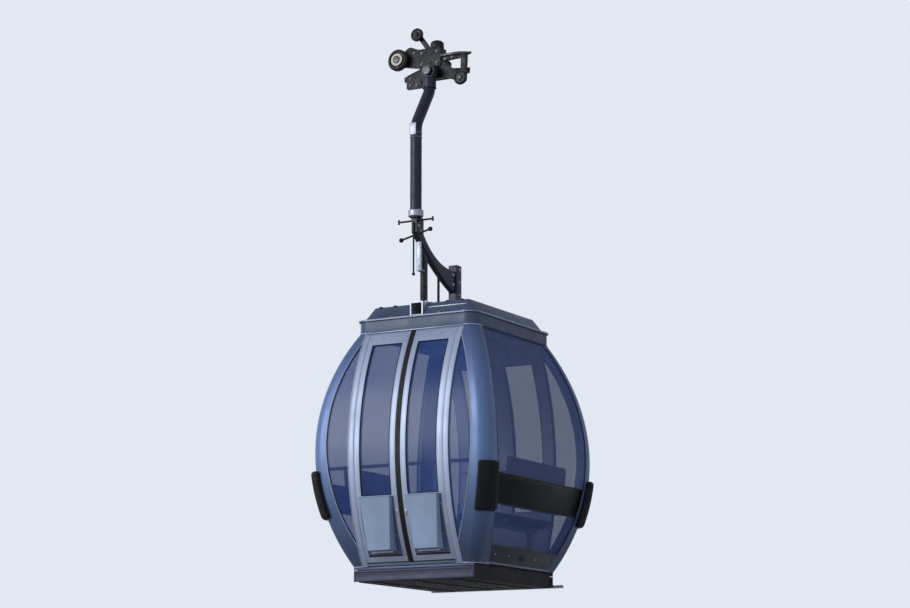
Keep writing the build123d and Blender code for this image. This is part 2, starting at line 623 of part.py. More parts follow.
def jaw():
    """The moving jaw, its boss on the pin, and the lever up to its roller."""
    half = JAW_HALF - GAP
    finger = plate_x(ring_part(MOVING_ARC, ROPE_R, JAW_R), half)
    boss_half = LUG_IN - GAP
    web = plate_x(bridge((*JAW_PIN, JAW_BOSS_R), (ROPE_R + WEB_R, WEB_R, WEB_R)), boss_half)
    piece = finger + (web - rod("X", ROPE_R + WEB_CUT, (-FAR, FAR), (0, 0)))
    roller_x, roller_y, roller_z = LEVER_ROLLER[4]
    lever_y = (JAW_PIN[0] - LEVER_T / 2, JAW_PIN[0] + LEVER_T / 2)
    arm = bridge((-boss_half / 8, JAW_PIN[1], LEVER_FOOT_R), (roller_x, roller_z, LEVER_FOOT_R))
    piece = piece + plate_y(arm, lever_y) - rod("X", JAW_PIN_R + RUN, (-FAR, FAR), JAW_PIN)
    boss = (roller_y + LEVER_ROLLER[1] / 2 + FIT, lever_y[0])
    piece = piece + rod("Y", LEVER_ROLLER[3] + BOSS_WALL, boss, (roller_x, roller_z))
    return piece + axle(LEVER_ROLLER, lever_y[0])


def grip():
    frame = grip_frame()
    save("grip_frame", frame)
    pin_end = HEAD_Y - EYE_W / 2 - GAP
    head = rod("Y", PIN_R + PIN_HEAD, (pin_end - 2 * PIN_HEAD, pin_end), (0, 0))
    save("hanger_pin", rod("Y", PIN_R, (pin_end, JAW_BACK + PIN_R), (0, 0)) + head)
    save("jaw_pin", rod("X", JAW_PIN_R, (-LUG_IN - LUG_T - GAP, LUG_IN + LUG_T + GAP), JAW_PIN))
    save("roller_axles", axle(TRACK_WHEEL, ARM_PLATE_Y[1]), axle(GUIDE_ROLLER, ARM_PLATE_Y[1]))
    save("track_wheel", wheel(*TRACK_WHEEL))
    save("guide_roller", wheel(*GUIDE_ROLLER))
    save("rope_noses", *noses())
    tower = rod("Z", TOWER_R, (CORE_Z[1], TOWER_TOP_Z), (TOWER_X, TOWER_Y))
    save("spring_tower", fillet(tower.edges().sort_by(Axis.Z)[-1], TOWER_DOME))
    foot, tip = CORE_X[1] + FIT, PLATE_TIP_X
    shoulder, middle = TAIL_X - 2 * FRICTION_T, sum(FRICTION_Y) / 2
    outline = Polyline((foot, FRICTION_Y[0]), (shoulder, FRICTION_Y[0]), (tip, middle), (shoulder, FRICTION_Y[1]),
                       (foot, FRICTION_Y[1]), close=True)
    save("friction_plate", extrude(Pos(0, 0, TAIL_Z[1]) * make_face(outline), amount=FRICTION_T))
    save("jaw", jaw())
    save("lever_roller", wheel(*LEVER_ROLLER))


corner_posts()
door_frame()
doors()
window_bars()
ski_baskets()
lens_panes()
back_wall()
ends()
corner_pads()
floor()
benches()
grab_rail()
roof()
hanger()
suspension()
grip()
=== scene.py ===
"""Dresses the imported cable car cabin: seals, fittings, bolts and finishes, the pale stage and the camera.

Metres, in the frame of the CAD part: the grip's bore along X, the doors facing -Y, +Z up, and the origin
on the bore's axis.
"""

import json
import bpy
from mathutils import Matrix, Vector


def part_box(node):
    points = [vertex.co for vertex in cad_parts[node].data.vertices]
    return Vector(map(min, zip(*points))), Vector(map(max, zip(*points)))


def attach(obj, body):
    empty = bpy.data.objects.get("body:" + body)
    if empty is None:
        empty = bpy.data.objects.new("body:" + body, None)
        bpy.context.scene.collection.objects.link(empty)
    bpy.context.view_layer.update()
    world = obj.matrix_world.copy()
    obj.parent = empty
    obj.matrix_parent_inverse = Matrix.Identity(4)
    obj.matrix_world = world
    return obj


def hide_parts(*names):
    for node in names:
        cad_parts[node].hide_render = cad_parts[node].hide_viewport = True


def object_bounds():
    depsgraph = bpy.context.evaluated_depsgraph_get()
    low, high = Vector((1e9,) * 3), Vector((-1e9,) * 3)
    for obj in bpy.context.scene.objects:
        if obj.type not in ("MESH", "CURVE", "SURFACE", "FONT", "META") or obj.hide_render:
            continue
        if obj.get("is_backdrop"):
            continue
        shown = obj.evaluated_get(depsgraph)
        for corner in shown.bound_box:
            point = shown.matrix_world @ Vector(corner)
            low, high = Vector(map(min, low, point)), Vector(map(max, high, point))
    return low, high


bl_info = {
    "name": "Cable Car Cabin",
    "version": (1, 0, 0),
    "blender": (4, 5, 0),
    "location": "View3D > Sidebar > Cable Car",
    "description": "Trim, fittings and finishes for a gondola cabin with its hanger arm and rope grip",
    "category": "Object",
}

from math import asin, cos, pi, radians, sin, sqrt

import bpy
from mathutils import Matrix, Vector

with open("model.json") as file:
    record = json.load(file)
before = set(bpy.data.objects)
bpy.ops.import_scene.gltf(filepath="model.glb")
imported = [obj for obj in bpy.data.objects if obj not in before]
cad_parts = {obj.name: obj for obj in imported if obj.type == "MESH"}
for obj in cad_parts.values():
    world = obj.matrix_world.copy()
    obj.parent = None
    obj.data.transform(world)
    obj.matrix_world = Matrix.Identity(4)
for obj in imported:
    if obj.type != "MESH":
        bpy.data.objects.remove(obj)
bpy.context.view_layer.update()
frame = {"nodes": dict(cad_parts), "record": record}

# The cabin's bowed form, as the part has it. Heights on its walls are from the sill
SILL, EAVE = (corner.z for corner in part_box("corner_post_door_fore"))
CABIN_Y = sum(corner.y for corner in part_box("roof_deck")) / 2
HALF_X = 0.9                # half the length where the walls are widest
HALF_Y = 1.03               # half the width there
BOW_R = 2.12
WIDEST = 1.025              # height where the walls are widest
DOOR_HALF = 0.45            # half the width of both doors
LEAF_GAP = 0.022            # from the doors' middle to a leaf
LEAF_MIDDLE = (DOOR_HALF + LEAF_GAP) / 2
WINDOW_LOW = 0.6
SIDES = (-1, 1)
ENDS = ((1, "fore"), (-1, "aft"))


def bow(height):
    """How far the walls lean in at a height above the sill."""
    return BOW_R - sqrt(BOW_R ** 2 - (height - WIDEST) ** 2)


# Modelling

def mode(name):
    bpy.ops.object.mode_set(mode=name)


def nothing_picked():
    if bpy.context.object and bpy.context.object.mode != "OBJECT":
        mode("OBJECT")
    bpy.ops.object.select_all(action="DESELECT")


def pick(*objects):
    nothing_picked()
    for obj in objects:
        obj.select_set(True)
    bpy.context.view_layer.objects.active = objects[0]


def renamed(obj, name):
    obj.name = obj.data.name = name
    return obj


def added(name, data):
    """A new object in the scene."""
    obj = bpy.data.objects.new(name, data)
    bpy.context.scene.collection.objects.link(obj)
    return obj


def named(name):
    """Names the new primitive and applies its place, turn and size."""
    obj = renamed(bpy.context.object, name)
    pick(obj)
    bpy.ops.object.transform_apply(location=True, rotation=True, scale=True)
    return obj


def box(name, low, high):
    """A cuboid between two corners, the start of a piece."""
    nothing_picked()
    low, high = Vector(low), Vector(high)
    bpy.ops.mesh.primitive_cube_add(size=1, location=(low + high) / 2)
    bpy.context.object.scale = high - low
    return named(name)


TURNS = {"X": (0, pi / 2, 0), "Y": (pi / 2, 0, 0), "Z": (0, 0, 0)}     # turn a piece from Z to each axis


def rod(name, axis, radius, span, at, sides=32):
    """A cylinder along an axis between two places on it. at gives the other two, in X, Y, Z order."""
    nothing_picked()
    middle = (span[0] + span[1]) / 2
    place = {"X": (middle, *at), "Y": (at[0], middle, at[1]), "Z": (*at, middle)}[axis]
    bpy.ops.mesh.primitive_cylinder_add(vertices=sides, radius=radius, depth=abs(span[1] - span[0]),
                                        location=place, rotation=TURNS[axis])
    return named(name)


def ring(name, axis, radius, thick, place, sides=48):
    """A torus about an axis: thick is the radius of its section."""
    nothing_picked()
    bpy.ops.mesh.primitive_torus_add(major_radius=radius, minor_radius=thick, major_segments=sides,
                                     minor_segments=10, location=place, rotation=TURNS[axis])
    return named(name)


SHARP = 32                  # degrees between two faces from which their edge is rounded
BEAD_SHARP = 40             # and from which it can get a bead
MERGE = 0.00005             # points of a CAD mesh this near are one point
PIECE_MERGE = 0.00002       # and of a new piece


def modify(obj, kind, **settings):
    """Adds one modifier and applies it."""
    pick(obj)
    modifier = obj.modifiers.new(kind.title(), kind)
    for key, value in settings.items():
        setattr(modifier, key, value)
    bpy.ops.object.modifier_apply(modifier=modifier.name)
    return obj


def soften(obj, width, segments=2):
    """Rounds the edges that are sharper than SHARP degrees."""
    return modify(obj, "BEVEL", width=width, segments=segments, limit_method="ANGLE",
                  angle_limit=radians(SHARP), use_clamp_overlap=True)


def edit_all(obj):
    pick(obj)
    mode("EDIT")
    bpy.ops.mesh.select_all(action="SELECT")


def copied(node, name, flat=0.5):
    """A merged copy of a CAD node's mesh, its faces within flat degrees of each other made one."""
    obj = added(name, frame["nodes"][node].data.copy())
    obj.data.name = name
    obj.data.materials.clear()
    edit_all(obj)
    bpy.ops.mesh.remove_doubles(threshold=MERGE)
    if flat:
        bpy.ops.mesh.dissolve_limited(angle_limit=radians(flat))
    mode("OBJECT")
    return obj


def joined(name, pieces):
    """The pieces as one object, under a new name."""
    pick(*pieces)
    if len(pieces) > 1:
        bpy.ops.object.join()
    return renamed(bpy.context.object, name)


def duplicate(obj, matrix):
    """A copy with its own mesh, moved by a matrix."""
    twin = added(obj.name, obj.data.copy())
    twin.data.transform(matrix)
    return twin


def stood(obj, point, facing):
    """A copy of a piece that stands on the XY plane, put at a point with its top facing a way."""
    turn = Vector((0, 0, 1)).rotation_difference(Vector(facing)).to_matrix().to_4x4()
    return duplicate(obj, Matrix.Translation(point) @ turn)


def turned_out(obj):
    """Makes a closed mesh's faces point outwards."""
    edit_all(obj)
    bpy.ops.mesh.remove_doubles(threshold=PIECE_MERGE)
    bpy.ops.mesh.normals_make_consistent(inside=False)
    mode("OBJECT")
    return obj


def finished(obj, finish, *nodes, body="carrier", angle=35):
    """Gives a piece its shading, finish, body and the nodes it stands for."""
    pick(obj)
    bpy.ops.object.shade_smooth_by_angle(angle=radians(angle))
    obj.data.materials.clear()
    obj.data.materials.append(FINISHES[finish])
    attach(obj, body)
    if nodes:
        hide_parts(*nodes)
    return obj


def softened(node, width, finish, segments=2, body="carrier", flat=0.5):
    """A CAD node with its edges rounded."""
    return finished(soften(copied(node, node + "_form", flat), width, segments), finish, node, body=body)


SQUARELY = 0.7              # how much of a face's normal lies along the axis that it looks along


def pick_faces(obj, axis, *ways):
    """Selects the faces that look along an axis, one way (1 or -1) or both, in edit mode."""
    pick(obj)
    mode("EDIT")
    bpy.context.tool_settings.mesh_select_mode = (False, False, True)
    bpy.ops.mesh.select_all(action="DESELECT")
    mode("OBJECT")
    for face in obj.data.polygons:
        along = face.normal["XYZ".index(axis)]
        face.select = any(way * along > SQUARELY for way in ways)
    mode("EDIT")


def pressed(obj, axis, way, margin, depth):
    """Sinks or raises the faces that look one way along an axis, inside a margin."""
    pick_faces(obj, axis, way)
    bpy.ops.mesh.inset(thickness=margin, depth=0)
    bpy.ops.mesh.inset(thickness=abs(depth), depth=depth)
    mode("OBJECT")
    return obj


def hollowed(obj, wall):
    """Opens a piece right through along Y, with a wall left round the opening."""
    pick_faces(obj, "Y", *SIDES)
    bpy.ops.mesh.inset(thickness=wall)
    bpy.ops.mesh.bridge_edge_loops()
    mode("OBJECT")
    return obj


def outline_bead(name, node, radius, keep, finish):
    """A bead along the sharp edges of a node whose ends pass a test."""
    obj = copied(node, name)
    mode("EDIT")
    bpy.context.tool_settings.mesh_select_mode = (False, True, False)
    bpy.ops.mesh.select_all(action="DESELECT")
    bpy.ops.mesh.edges_select_sharp(sharpness=radians(BEAD_SHARP))
    mode("OBJECT")
    points = obj.data.vertices
    for edge in obj.data.edges:
        edge.select = edge.select and all(keep(points[i].co) for i in edge.vertices)
    mode("EDIT")
    bpy.ops.mesh.select_all(action="INVERT")
    bpy.ops.mesh.delete(type="EDGE_FACE")
    bpy.ops.mesh.select_all(action="SELECT")
    bpy.ops.mesh.delete_loose(use_verts=True, use_edges=False, use_faces=False)
    mode("OBJECT")
    bpy.ops.object.convert(target="CURVE")
    obj = bpy.context.object
    obj.data.bevel_depth = radius
    obj.data.bevel_resolution = 1
    obj.data.use_fill_caps = True
    bpy.ops.object.convert(target="MESH")
    return finished(bpy.context.object, finish, angle=60)


def circle(x, y, radius, count):
    """Points spaced evenly round a circle, from half a step on."""
    angles = [2 * pi * (k + 0.5) / count for k in range(count)]
    return [(x + radius * cos(angle), y + radius * sin(angle)) for angle in angles]


def bolt(name, radius, height):
    """A bolt head on its washer, standing on the XY plane."""
    washer_r, washer_half = 1.45 * radius, 0.3 * radius
    head = soften(rod(name, "Z", radius, (washer_half, height), (0, 0), 6), 0.12 * radius, 1)
    washer = soften(rod(name, "Z", washer_r, (-washer_half, washer_half), (0, 0), 20), 0.1 * radius, 1)
    return joined(name, [head, washer])


def bolts(name, radius, height, spots, finish, body="carrier"):
    """One bolt head copied to many spots, each a point and the direction it faces."""
    first = bolt(name, radius, height)
    copies = [stood(first, point, facing) for point, facing in spots]
    bpy.data.objects.remove(first)
    return finished(joined(name, copies), finish, body=body)


def wall_spot(wall, side, along, height, proud=0.0):
    """A point on a bowed wall and the wall's direction there. wall is the axis that the wall faces."""
    angle = asin((height - WIDEST) / BOW_R)
    half = HALF_Y if wall == "Y" else HALF_X
    out = side * (half - BOW_R + (BOW_R + proud) * cos(angle))
    rise = SILL + WIDEST + (BOW_R + proud) * sin(angle)
    if wall == "Y":
        return (along, CABIN_Y + out, rise), (0, side * cos(angle), sin(angle))
    return (out, CABIN_Y + along, rise), (side * cos(angle), 0, sin(angle))


def bowed(name, wall, side, span, heights, thick, proud, steps=16):
    """A strip that follows a bowed wall between two heights: a flat profile spun about the bow's centre."""
    start, end = (asin((height - WIDEST) / BOW_R) for height in heights)
    middle, width = (span[0] + span[1]) / 2, span[1] - span[0]
    place, _ = wall_spot(wall, side, middle, heights[0], proud - thick / 2)
    tilt = start if side > 0 else pi - start
    nothing_picked()
    if wall == "Y":
        bpy.ops.mesh.primitive_plane_add(size=1, location=place, rotation=(tilt, 0, 0))
        bpy.context.object.scale = (width, thick, 1)
        centre, axis, turn = (middle, CABIN_Y + side * (HALF_Y - BOW_R), SILL + WIDEST), (1, 0, 0), -side
    else:
        bpy.ops.mesh.primitive_plane_add(size=1, location=place, rotation=(0, -tilt, 0))
        bpy.context.object.scale = (thick, width, 1)
        centre, axis, turn = (side * (HALF_X - BOW_R), CABIN_Y + middle, SILL + WIDEST), (0, 1, 0), side
    obj = named(name)
    edit_all(obj)
    bpy.ops.mesh.spin(steps=steps, angle=turn * (end - start), center=centre, axis=axis)
    mode("OBJECT")
    return turned_out(obj)


# Finishes

class Graph:
    """The nodes of one material or world, with a short way to add each kind that is used here."""

    def __init__(self, tree):
        self.nodes, self.links = tree.nodes, tree.links

    def add(self, kind, **inputs):
        """A new node with some of its inputs set. An underscore in a name stands for a space."""
        node = self.nodes.new("ShaderNode" + kind)
        for name, value in inputs.items():
            node.inputs[name.replace("_", " ")].default_value = value
        return node

    def place(self, output="Object"):
        return self.add("TexCoord").outputs[output]

    def split(self, vector):
        """The X, Y and Z of a vector."""
        parts = self.add("SeparateXYZ")
        self.links.new(vector, parts.inputs["Vector"])
        return parts.outputs

    def noise(self, scale, detail=4.0, stretch=(1, 1, 1)):
        mapping = self.add("Mapping", Scale=stretch)
        texture = self.add("TexNoise", Scale=scale, Detail=detail, Roughness=0.55)
        self.links.new(self.place(), mapping.inputs["Vector"])
        self.links.new(mapping.outputs["Vector"], texture.inputs["Vector"])
        return texture.outputs["Fac"]

    def ramp(self, value, low, high, start=0.0, end=1.0):
        """Maps a value between two places onto a range."""
        node = self.add("MapRange", From_Min=low, From_Max=high, To_Min=start, To_Max=end)
        self.links.new(value, node.inputs["Value"])
        return node.outputs["Result"]

    def mixed(self, share, first, second):
        """Mixes two colours by a share. Each is a colour or a socket."""
        node = self.add("Mix")
        node.data_type = "RGBA"
        for socket, value in ((node.inputs[0], share), (node.inputs[6], first), (node.inputs[7], second)):
            if isinstance(value, bpy.types.NodeSocket):
                self.links.new(value, socket)
            else:
                socket.default_value = (*value, 1)
        return node.outputs[2]

    def greatest(self, first, second):
        node = self.add("Math")
        node.operation = "MAXIMUM"
        self.links.new(first, node.inputs[0])
        self.links.new(second, node.inputs[1])
        return node.outputs["Value"]


class Finish(Graph):
    """A new material around its Principled BSDF."""

    def __init__(self, name, **inputs):
        self.material = bpy.data.materials.new(name)
        self.material.use_nodes = True
        super().__init__(self.material.node_tree)
        self.shader = self.nodes["Principled BSDF"]
        for socket, value in inputs.items():
            self.shader.inputs[socket.replace("_", " ")].default_value = value

    def feed(self, socket, value):
        self.links.new(value, self.shader.inputs[socket])

    def bumped(self, height, strength, distance):
        node = self.add("Bump", Strength=strength, Distance=distance)
        self.links.new(height, node.inputs["Height"])
        self.feed("Normal", node.outputs["Normal"])


def shade(colour, factor):
    return tuple(min(1.0, c * factor) for c in colour)


DUST = (0.36, 0.35, 0.33)


def coated(name, colour, rough, metallic=0.0, patch=0.82, patch_scale=3.0, grain=400.0, grain_depth=0.0002,
           grain_strength=0.25, streaks=0.12, rough_spread=0.1, dust=0.0, shadowed=0.0, shine=0.5):
    """Paint, metal or plastic with patchy colour, fine grain, rain streaks and dust on what faces up.

    shadowed darkens the foot and the head of the walls: painted shade at the foot, and a painted reflection
    of the deep blue sky at the head.
    """
    look = Finish(name, Metallic=metallic, Specular_IOR_Level=shine)
    patches = look.ramp(look.noise(patch_scale), 0.35, 0.68)
    tint = look.mixed(patches, shade(colour, patch), shade(colour, 1.96 - patch))
    streak = look.ramp(look.noise(9.0, 5.0, (1, 1, 0.09)), 0.55, 0.8, 0.0, streaks)
    tint = look.mixed(streak, tint, shade(colour, 0.45))
    # Painted shade and painted reflection: the colour darkens towards the walls' foot and towards their head
    if shadowed:
        height = look.split(look.place())["Z"]
        foot = look.ramp(height, SILL + 0.75, SILL + 0.1, 0.0, shadowed)
        tint = look.mixed(foot, tint, shade(colour, 0.22))
        head = look.ramp(height, SILL + 1.5, EAVE, 0.0, 0.7 * shadowed)
        tint = look.mixed(head, tint, shade(colour, 0.3))
    if dust:
        facing_up = look.split(look.add("NewGeometry").outputs["Normal"])["Z"]
        tint = look.mixed(look.ramp(facing_up, 0.55, 1.0, 0.0, dust), tint, DUST)
    look.feed("Base Color", tint)
    gloss = look.noise(3.0 * patch_scale, 2.0)
    look.feed("Roughness", look.ramp(gloss, 0.3, 0.75, rough - rough_spread / 2, rough + rough_spread))
    look.bumped(look.noise(grain, 2.0), grain_strength, grain_depth)
    return look.material


def tinted_glass(name, tint, clear):
    """Tinted acrylic: see-through and satin-glossy, with a faint film of dust."""
    look = Finish(name, Alpha=1 - clear, IOR=1.5, Specular_IOR_Level=0.32)
    film = look.ramp(look.noise(2.2, 5.0, (1, 1, 0.5)), 0.4, 0.75)
    look.feed("Base Color", look.mixed(film, tint, shade(tint, 1.35)))
    look.feed("Roughness", look.ramp(look.noise(5.0), 0.3, 0.8, 0.22, 0.32))
    look.material.surface_render_method = "BLENDED"
    return look.material


def zinc(name, colour):
    """Galvanised steel, with its spangle."""
    look = Finish(name, Metallic=0.75)
    cells = look.add("TexVoronoi", Scale=60.0)
    look.links.new(look.place(), cells.inputs["Vector"])
    parts = look.add("SeparateColor")
    look.links.new(cells.outputs["Color"], parts.inputs["Color"])
    tint = look.mixed(parts.outputs["Red"], shade(colour, 0.8), shade(colour, 1.12))
    stain = look.ramp(look.noise(6.0, 5.0, (1, 1, 0.3)), 0.55, 0.78, 0.0, 0.35)
    look.feed("Base Color", look.mixed(stain, tint, shade(colour, 0.5)))
    look.feed("Roughness", look.ramp(parts.outputs["Green"], 0, 1, 0.38, 0.55))
    look.bumped(look.noise(250.0), 0.2, 0.0002)
    return look.material


def machined(name, colour, low=0.24, high=0.42):
    """Turned or milled steel with fine tool marks and a film of grease."""
    look = Finish(name, Metallic=1.0)
    grease = look.ramp(look.noise(30.0, 5.0), 0.5, 0.75, 0.0, 0.6)
    look.feed("Base Color", look.mixed(grease, colour, shade(colour, 0.35)))
    look.feed("Roughness", look.ramp(look.noise(40.0), 0.3, 0.7, low, high))
    look.bumped(look.noise(120.0, 3.0, (6, 6, 1)), 0.2, 0.0001)
    return look.material


def ribbed(name, colour, pitch):
    """A rubber mat with ribs across the cabin's length."""
    look = Finish(name, Roughness=0.8)
    wave = look.add("TexWave", Scale=pi / 10 / pitch)     # at scale 1, a wave is pi / 10 long
    wave.bands_direction = "X"
    look.links.new(look.place(), wave.inputs["Vector"])
    dirt = look.ramp(look.noise(4.0, 6.0), 0.45, 0.75)
    look.feed("Base Color", look.mixed(dirt, colour, shade(colour, 1.8)))
    look.bumped(wave.outputs["Fac"], 0.6, 0.002)
    return look.material


FINISHES = {}


def make_finishes(colours):
    smooth = {"grain": 60.0, "grain_strength": 0.02}     # gloss paint, almost without grain
    FINISHES.update({
        "frame_silver": coated("FrameSilver", colours.frame, 0.42, 0.35, 0.9, 1.4, streaks=0.1, shadowed=0.3,
                               **smooth),
        "post_blue": coated("PostBlue", colours.post, 0.4, 0.4, 0.88, 1.2, streaks=0.1, shadowed=0.7,
                            **smooth),
        "basket_grey": coated("BasketGrey", colours.basket, 0.42, 0.1, 0.9, 4.0, 260.0, grain_strength=0.1,
                              streaks=0.18),
        "lower_grey": coated("LowerGrey", colours.panel, 0.4, 0.3, 0.85, 3.0, 260.0, grain_strength=0.1,
                             streaks=0.2),
        "infill_blue": coated("InfillBlue", colours.infill, 0.38, 0.35, 0.88, 3.0, 260.0, grain_strength=0.1,
                              streaks=0.18),
        "belt_black": coated("BeltBlack", colours.belt, 0.34, 0.0, 0.8, shine=0.18, **smooth),
        "pan_grey": coated("PanGrey", colours.pan, 0.42, 0.3, 0.8, 2.5, 300.0, streaks=0.25),
        "underside": coated("Underside", colours.underside, 0.7, 0.1, 0.7, 3.5, 200.0, 0.0006, 0.4,
                            shine=0.25),
        "roof_dark": coated("RoofDark", colours.roof, 0.4, 0.2, 0.8, 2.0, 300.0, dust=0.3),
        "roof_lip": coated("RoofLip", colours.lip, 0.33, 0.6, 0.88, 2.0, 600.0, dust=0.2),
        "lining": coated("Lining", colours.lining, 0.6, 0.0, 0.94, 3.0, 900.0, grain_strength=0.4),
        "rubber": coated("Rubber", colours.rubber, 0.62, 0.0, 0.75, 6.0, 900.0, grain_strength=0.3,
                         streaks=0.05, shine=0.28),
        "seal": coated("Seal", colours.rubber, 0.5, 0.0, 0.8, 6.0, 900.0, streaks=0.03),
        "roller_black": coated("RollerBlack", shade(colours.rubber, 1.5), 0.5, 0.0, 0.7, 20.0, 700.0,
                               grain_strength=0.3),
        "seat": coated("BenchShell", colours.seat, 0.5, 0.0, 0.85, 5.0, 1200.0, grain_strength=0.5,
                       streaks=0.0),
        "grip_black": coated("GripBlack", colours.grip, 0.42, 0.15, 0.7, 12.0, 260.0, 0.0003, 0.3,
                             streaks=0.3, rough_spread=0.2, shine=0.32),
        "hanger_paint": coated("HangerPaint", colours.hanger, 0.36, 0.2, 0.82, 5.0, 350.0, grain_strength=0.1,
                               streaks=0.25, shine=0.4),
        "hub_cream": coated("HubCream", colours.hub, 0.45, 0.0, 0.85, 15.0, 500.0),
        "blank_plate": coated("BlankPlate", (0.5, 0.52, 0.57), 0.35, 0.3, 0.92, 8.0, 600.0),
        "nose_brown": coated("NoseBrown", (0.07, 0.045, 0.04), 0.42, 0.6, 0.7, 14.0, 300.0, 0.0004, 0.4,
                             rough_spread=0.2),
        "spring_red": coated("SpringRed", (0.16, 0.03, 0.02), 0.45, 0.1, 0.75, 20.0, 500.0),
        "galvanised": zinc("Galvanised", colours.zinc),
        "bolt_zinc": zinc("BoltZinc", shade(colours.zinc, 1.1)),
        "steel": machined("Steel", (0.5, 0.51, 0.54)),
        "dark_steel": machined("DarkSteel", (0.09, 0.09, 0.1), 0.3, 0.5),
        "floor_mat": ribbed("FloorMat", (0.035, 0.035, 0.04), 0.02),
        "glass": tinted_glass("TintedGlass", colours.glass, colours.clear),
    })


# Settings

def colour(label, value, hint):
    return bpy.props.FloatVectorProperty(name=label, description=hint, subtype="COLOR", size=3, min=0, max=1,
                                         default=value)


def length(label, value, hint):
    return bpy.props.FloatProperty(name=label, description=hint, unit="LENGTH", default=value)


class CableCarColours(bpy.types.PropertyGroup):
    # Satin silver whose blue tint is a painted reflection of the blue sky
    frame: colour("Frame", (0.42, 0.47, 0.6), "Satin silver of the door frames and posts")
    # The posts' saturated blue is partly their own blue-grey and partly a painted reflection of the blue sky
    post: colour("Corner post", (0.13, 0.195, 0.36), "Blue-grey of the bowed corner posts")
    basket: colour("Basket", (0.34, 0.43, 0.57), "Light grey of the ski baskets")
    panel: colour("End panel", (0.024, 0.03, 0.04), "Grey of the panels below the end windows")
    # The infill's dark blue is partly the panels' own colour and partly painted shade, where the baskets
    # shade the doors' lower panels
    infill: colour("Door infill", (0.085, 0.11, 0.21), "Blue-grey of the doors below their windows")
    belt: colour("Belt", (0.003, 0.0035, 0.004), "Gloss black of the belt across each end")
    pan: colour("Pan", (0.026, 0.034, 0.066), "Bluish grey of the floor pan's sides")
    # On the floor pan's ends this brown-black is painted shade
    underside: colour("Underside", (0.03, 0.029, 0.026), "Brown-black of the floor pan's underside")
    roof: colour("Roof", (0.05, 0.072, 0.125), "Dark paint of the roof")
    lip: colour("Roof lip", (0.2, 0.24, 0.32), "Satin metal of the roof's lip")
    lining: colour("Lining", (0.3, 0.32, 0.36), "Inside lining")
    rubber: colour("Rubber", (0.005, 0.005, 0.006), "Black of the pads and seals")
    seat: colour("Seat", (0.03, 0.034, 0.045), "Dark moulded seats")
    grip: colour("Grip", (0.009, 0.009, 0.012), "Black paint of the grip")
    hanger: colour("Hanger", (0.018, 0.02, 0.034), "Dark paint of the hanger arm")
    hub: colour("Wheel hub", (0.62, 0.55, 0.42), "Cream ring on the track wheel")
    zinc: colour("Zinc", (0.42, 0.45, 0.5), "Galvanised steel")
    # The tint's deep blue is partly the panes' own tint and partly painted sky, reflected in and seen through
    # the panes
    glass: colour("Glass", (0.035, 0.075, 0.24), "Tint of the windows")
    clear: bpy.props.FloatProperty(name="Clearness", description="Share of light that one pane lets through",
                                   subtype="FACTOR", min=0, max=1, default=0.58)


class CableCarSizes(bpy.types.PropertyGroup):
    seal_r: length("Window seal", 0.007, "Radius of the rubber seal round the windows")
    seam_r: length("Seam", 0.004, "Radius of the rubber seams between panels")
    edge: length("Edge rounding", 0.003, "Rounding of sheet metal edges")
    pad_round: length("Pad bulge", 0.009, "How much the smoothed corner pads swell again")


def colours():
    return bpy.context.scene.cable_car_colours


def sizes():
    return bpy.context.scene.cable_car_sizes


# Cabin

EDGE_BAND = 0.009                       # how near the wall's outside a pane's outer edge lies
OUTER_EDGE = 0.004                      # and a door's or a post's
WALL_ENDS = (0.004, 2.096)              # heights between which edges get beads
INFILL = {"heights": (0.1, 0.586), "thick": 0.008, "proud": 0.0045, "steps": 14}
INFILL_RIM, INFILL_SINK = 0.012, -0.002
SCREW_R, SCREW_H = 0.006, 0.004


def outer_face(wall, limit=EDGE_BAND):
    """A test for points near the outside of the bowed walls that face an axis."""
    def test(point):
        height = point.z - SILL
        half, off = (HALF_Y, point.y - CABIN_Y) if wall == "Y" else (HALF_X, point.x)
        return WALL_ENDS[0] < height < WALL_ENDS[1] and half - bow(height) - abs(off) < limit
    return test


def leaf_rim(point):
    """True for points on a door leaf's outer rim, not on its window."""
    beside_window = LEAF_GAP + 0.03 < abs(point.x) < DOOR_HALF - 0.03
    in_window = beside_window and WINDOW_LOW - 0.02 < point.z - SILL < 1.99
    return outer_face("Y", OUTER_EDGE)(point) and not in_window


def infill(name, wall_side, span):
    """A pressed panel below a window of the door wall, on side -1, or of the back wall, on side 1."""
    panel = bowed(name, "Y", wall_side, sorted(span), **INFILL)
    pressed(panel, "Y", wall_side, INFILL_RIM, INFILL_SINK)
    finished(panel, "infill_blue")


class CABLECAR_OT_finishes(bpy.types.Operator):
    """Makes the finishes and puts them on the CAD nodes that stay"""
    bl_idname = "cable_car.finishes"
    bl_label = "Finishes"

    def execute(self, context):
        make_finishes(colours())
        for entry in frame["record"]["subparts"]:
            node = frame["nodes"].get(entry["node"])
            if node is not None:
                node.data.materials.clear()
                node.data.materials.append(FINISHES[entry["material_slot"]])
        return {"FINISHED"}


class CABLECAR_OT_shell(bpy.types.Operator):
    """Rounds the edges of the posts, doors and panels"""
    bl_idname = "cable_car.shell"
    bl_label = "Cabin Shell"

    def execute(self, context):
        edge = sizes().edge
        for side in ("door", "back"):
            for _, end in ENDS:
                post = softened(f"corner_post_{side}_{end}", 0.7 * edge, "post_blue", flat=0)
                modify(post, "WEIGHTED_NORMAL", mode="FACE_AREA", weight=50, keep_sharp=True)
        for node in ("door_fore", "door_aft", "door_posts", "back_panel"):
            softened(node, edge, "frame_silver")
        softened("end_panels", edge, "lower_grey")
        softened("end_belts", edge, "belt_black")
        softened("door_sill", 0.002, "roof_lip")
        return {"FINISHED"}


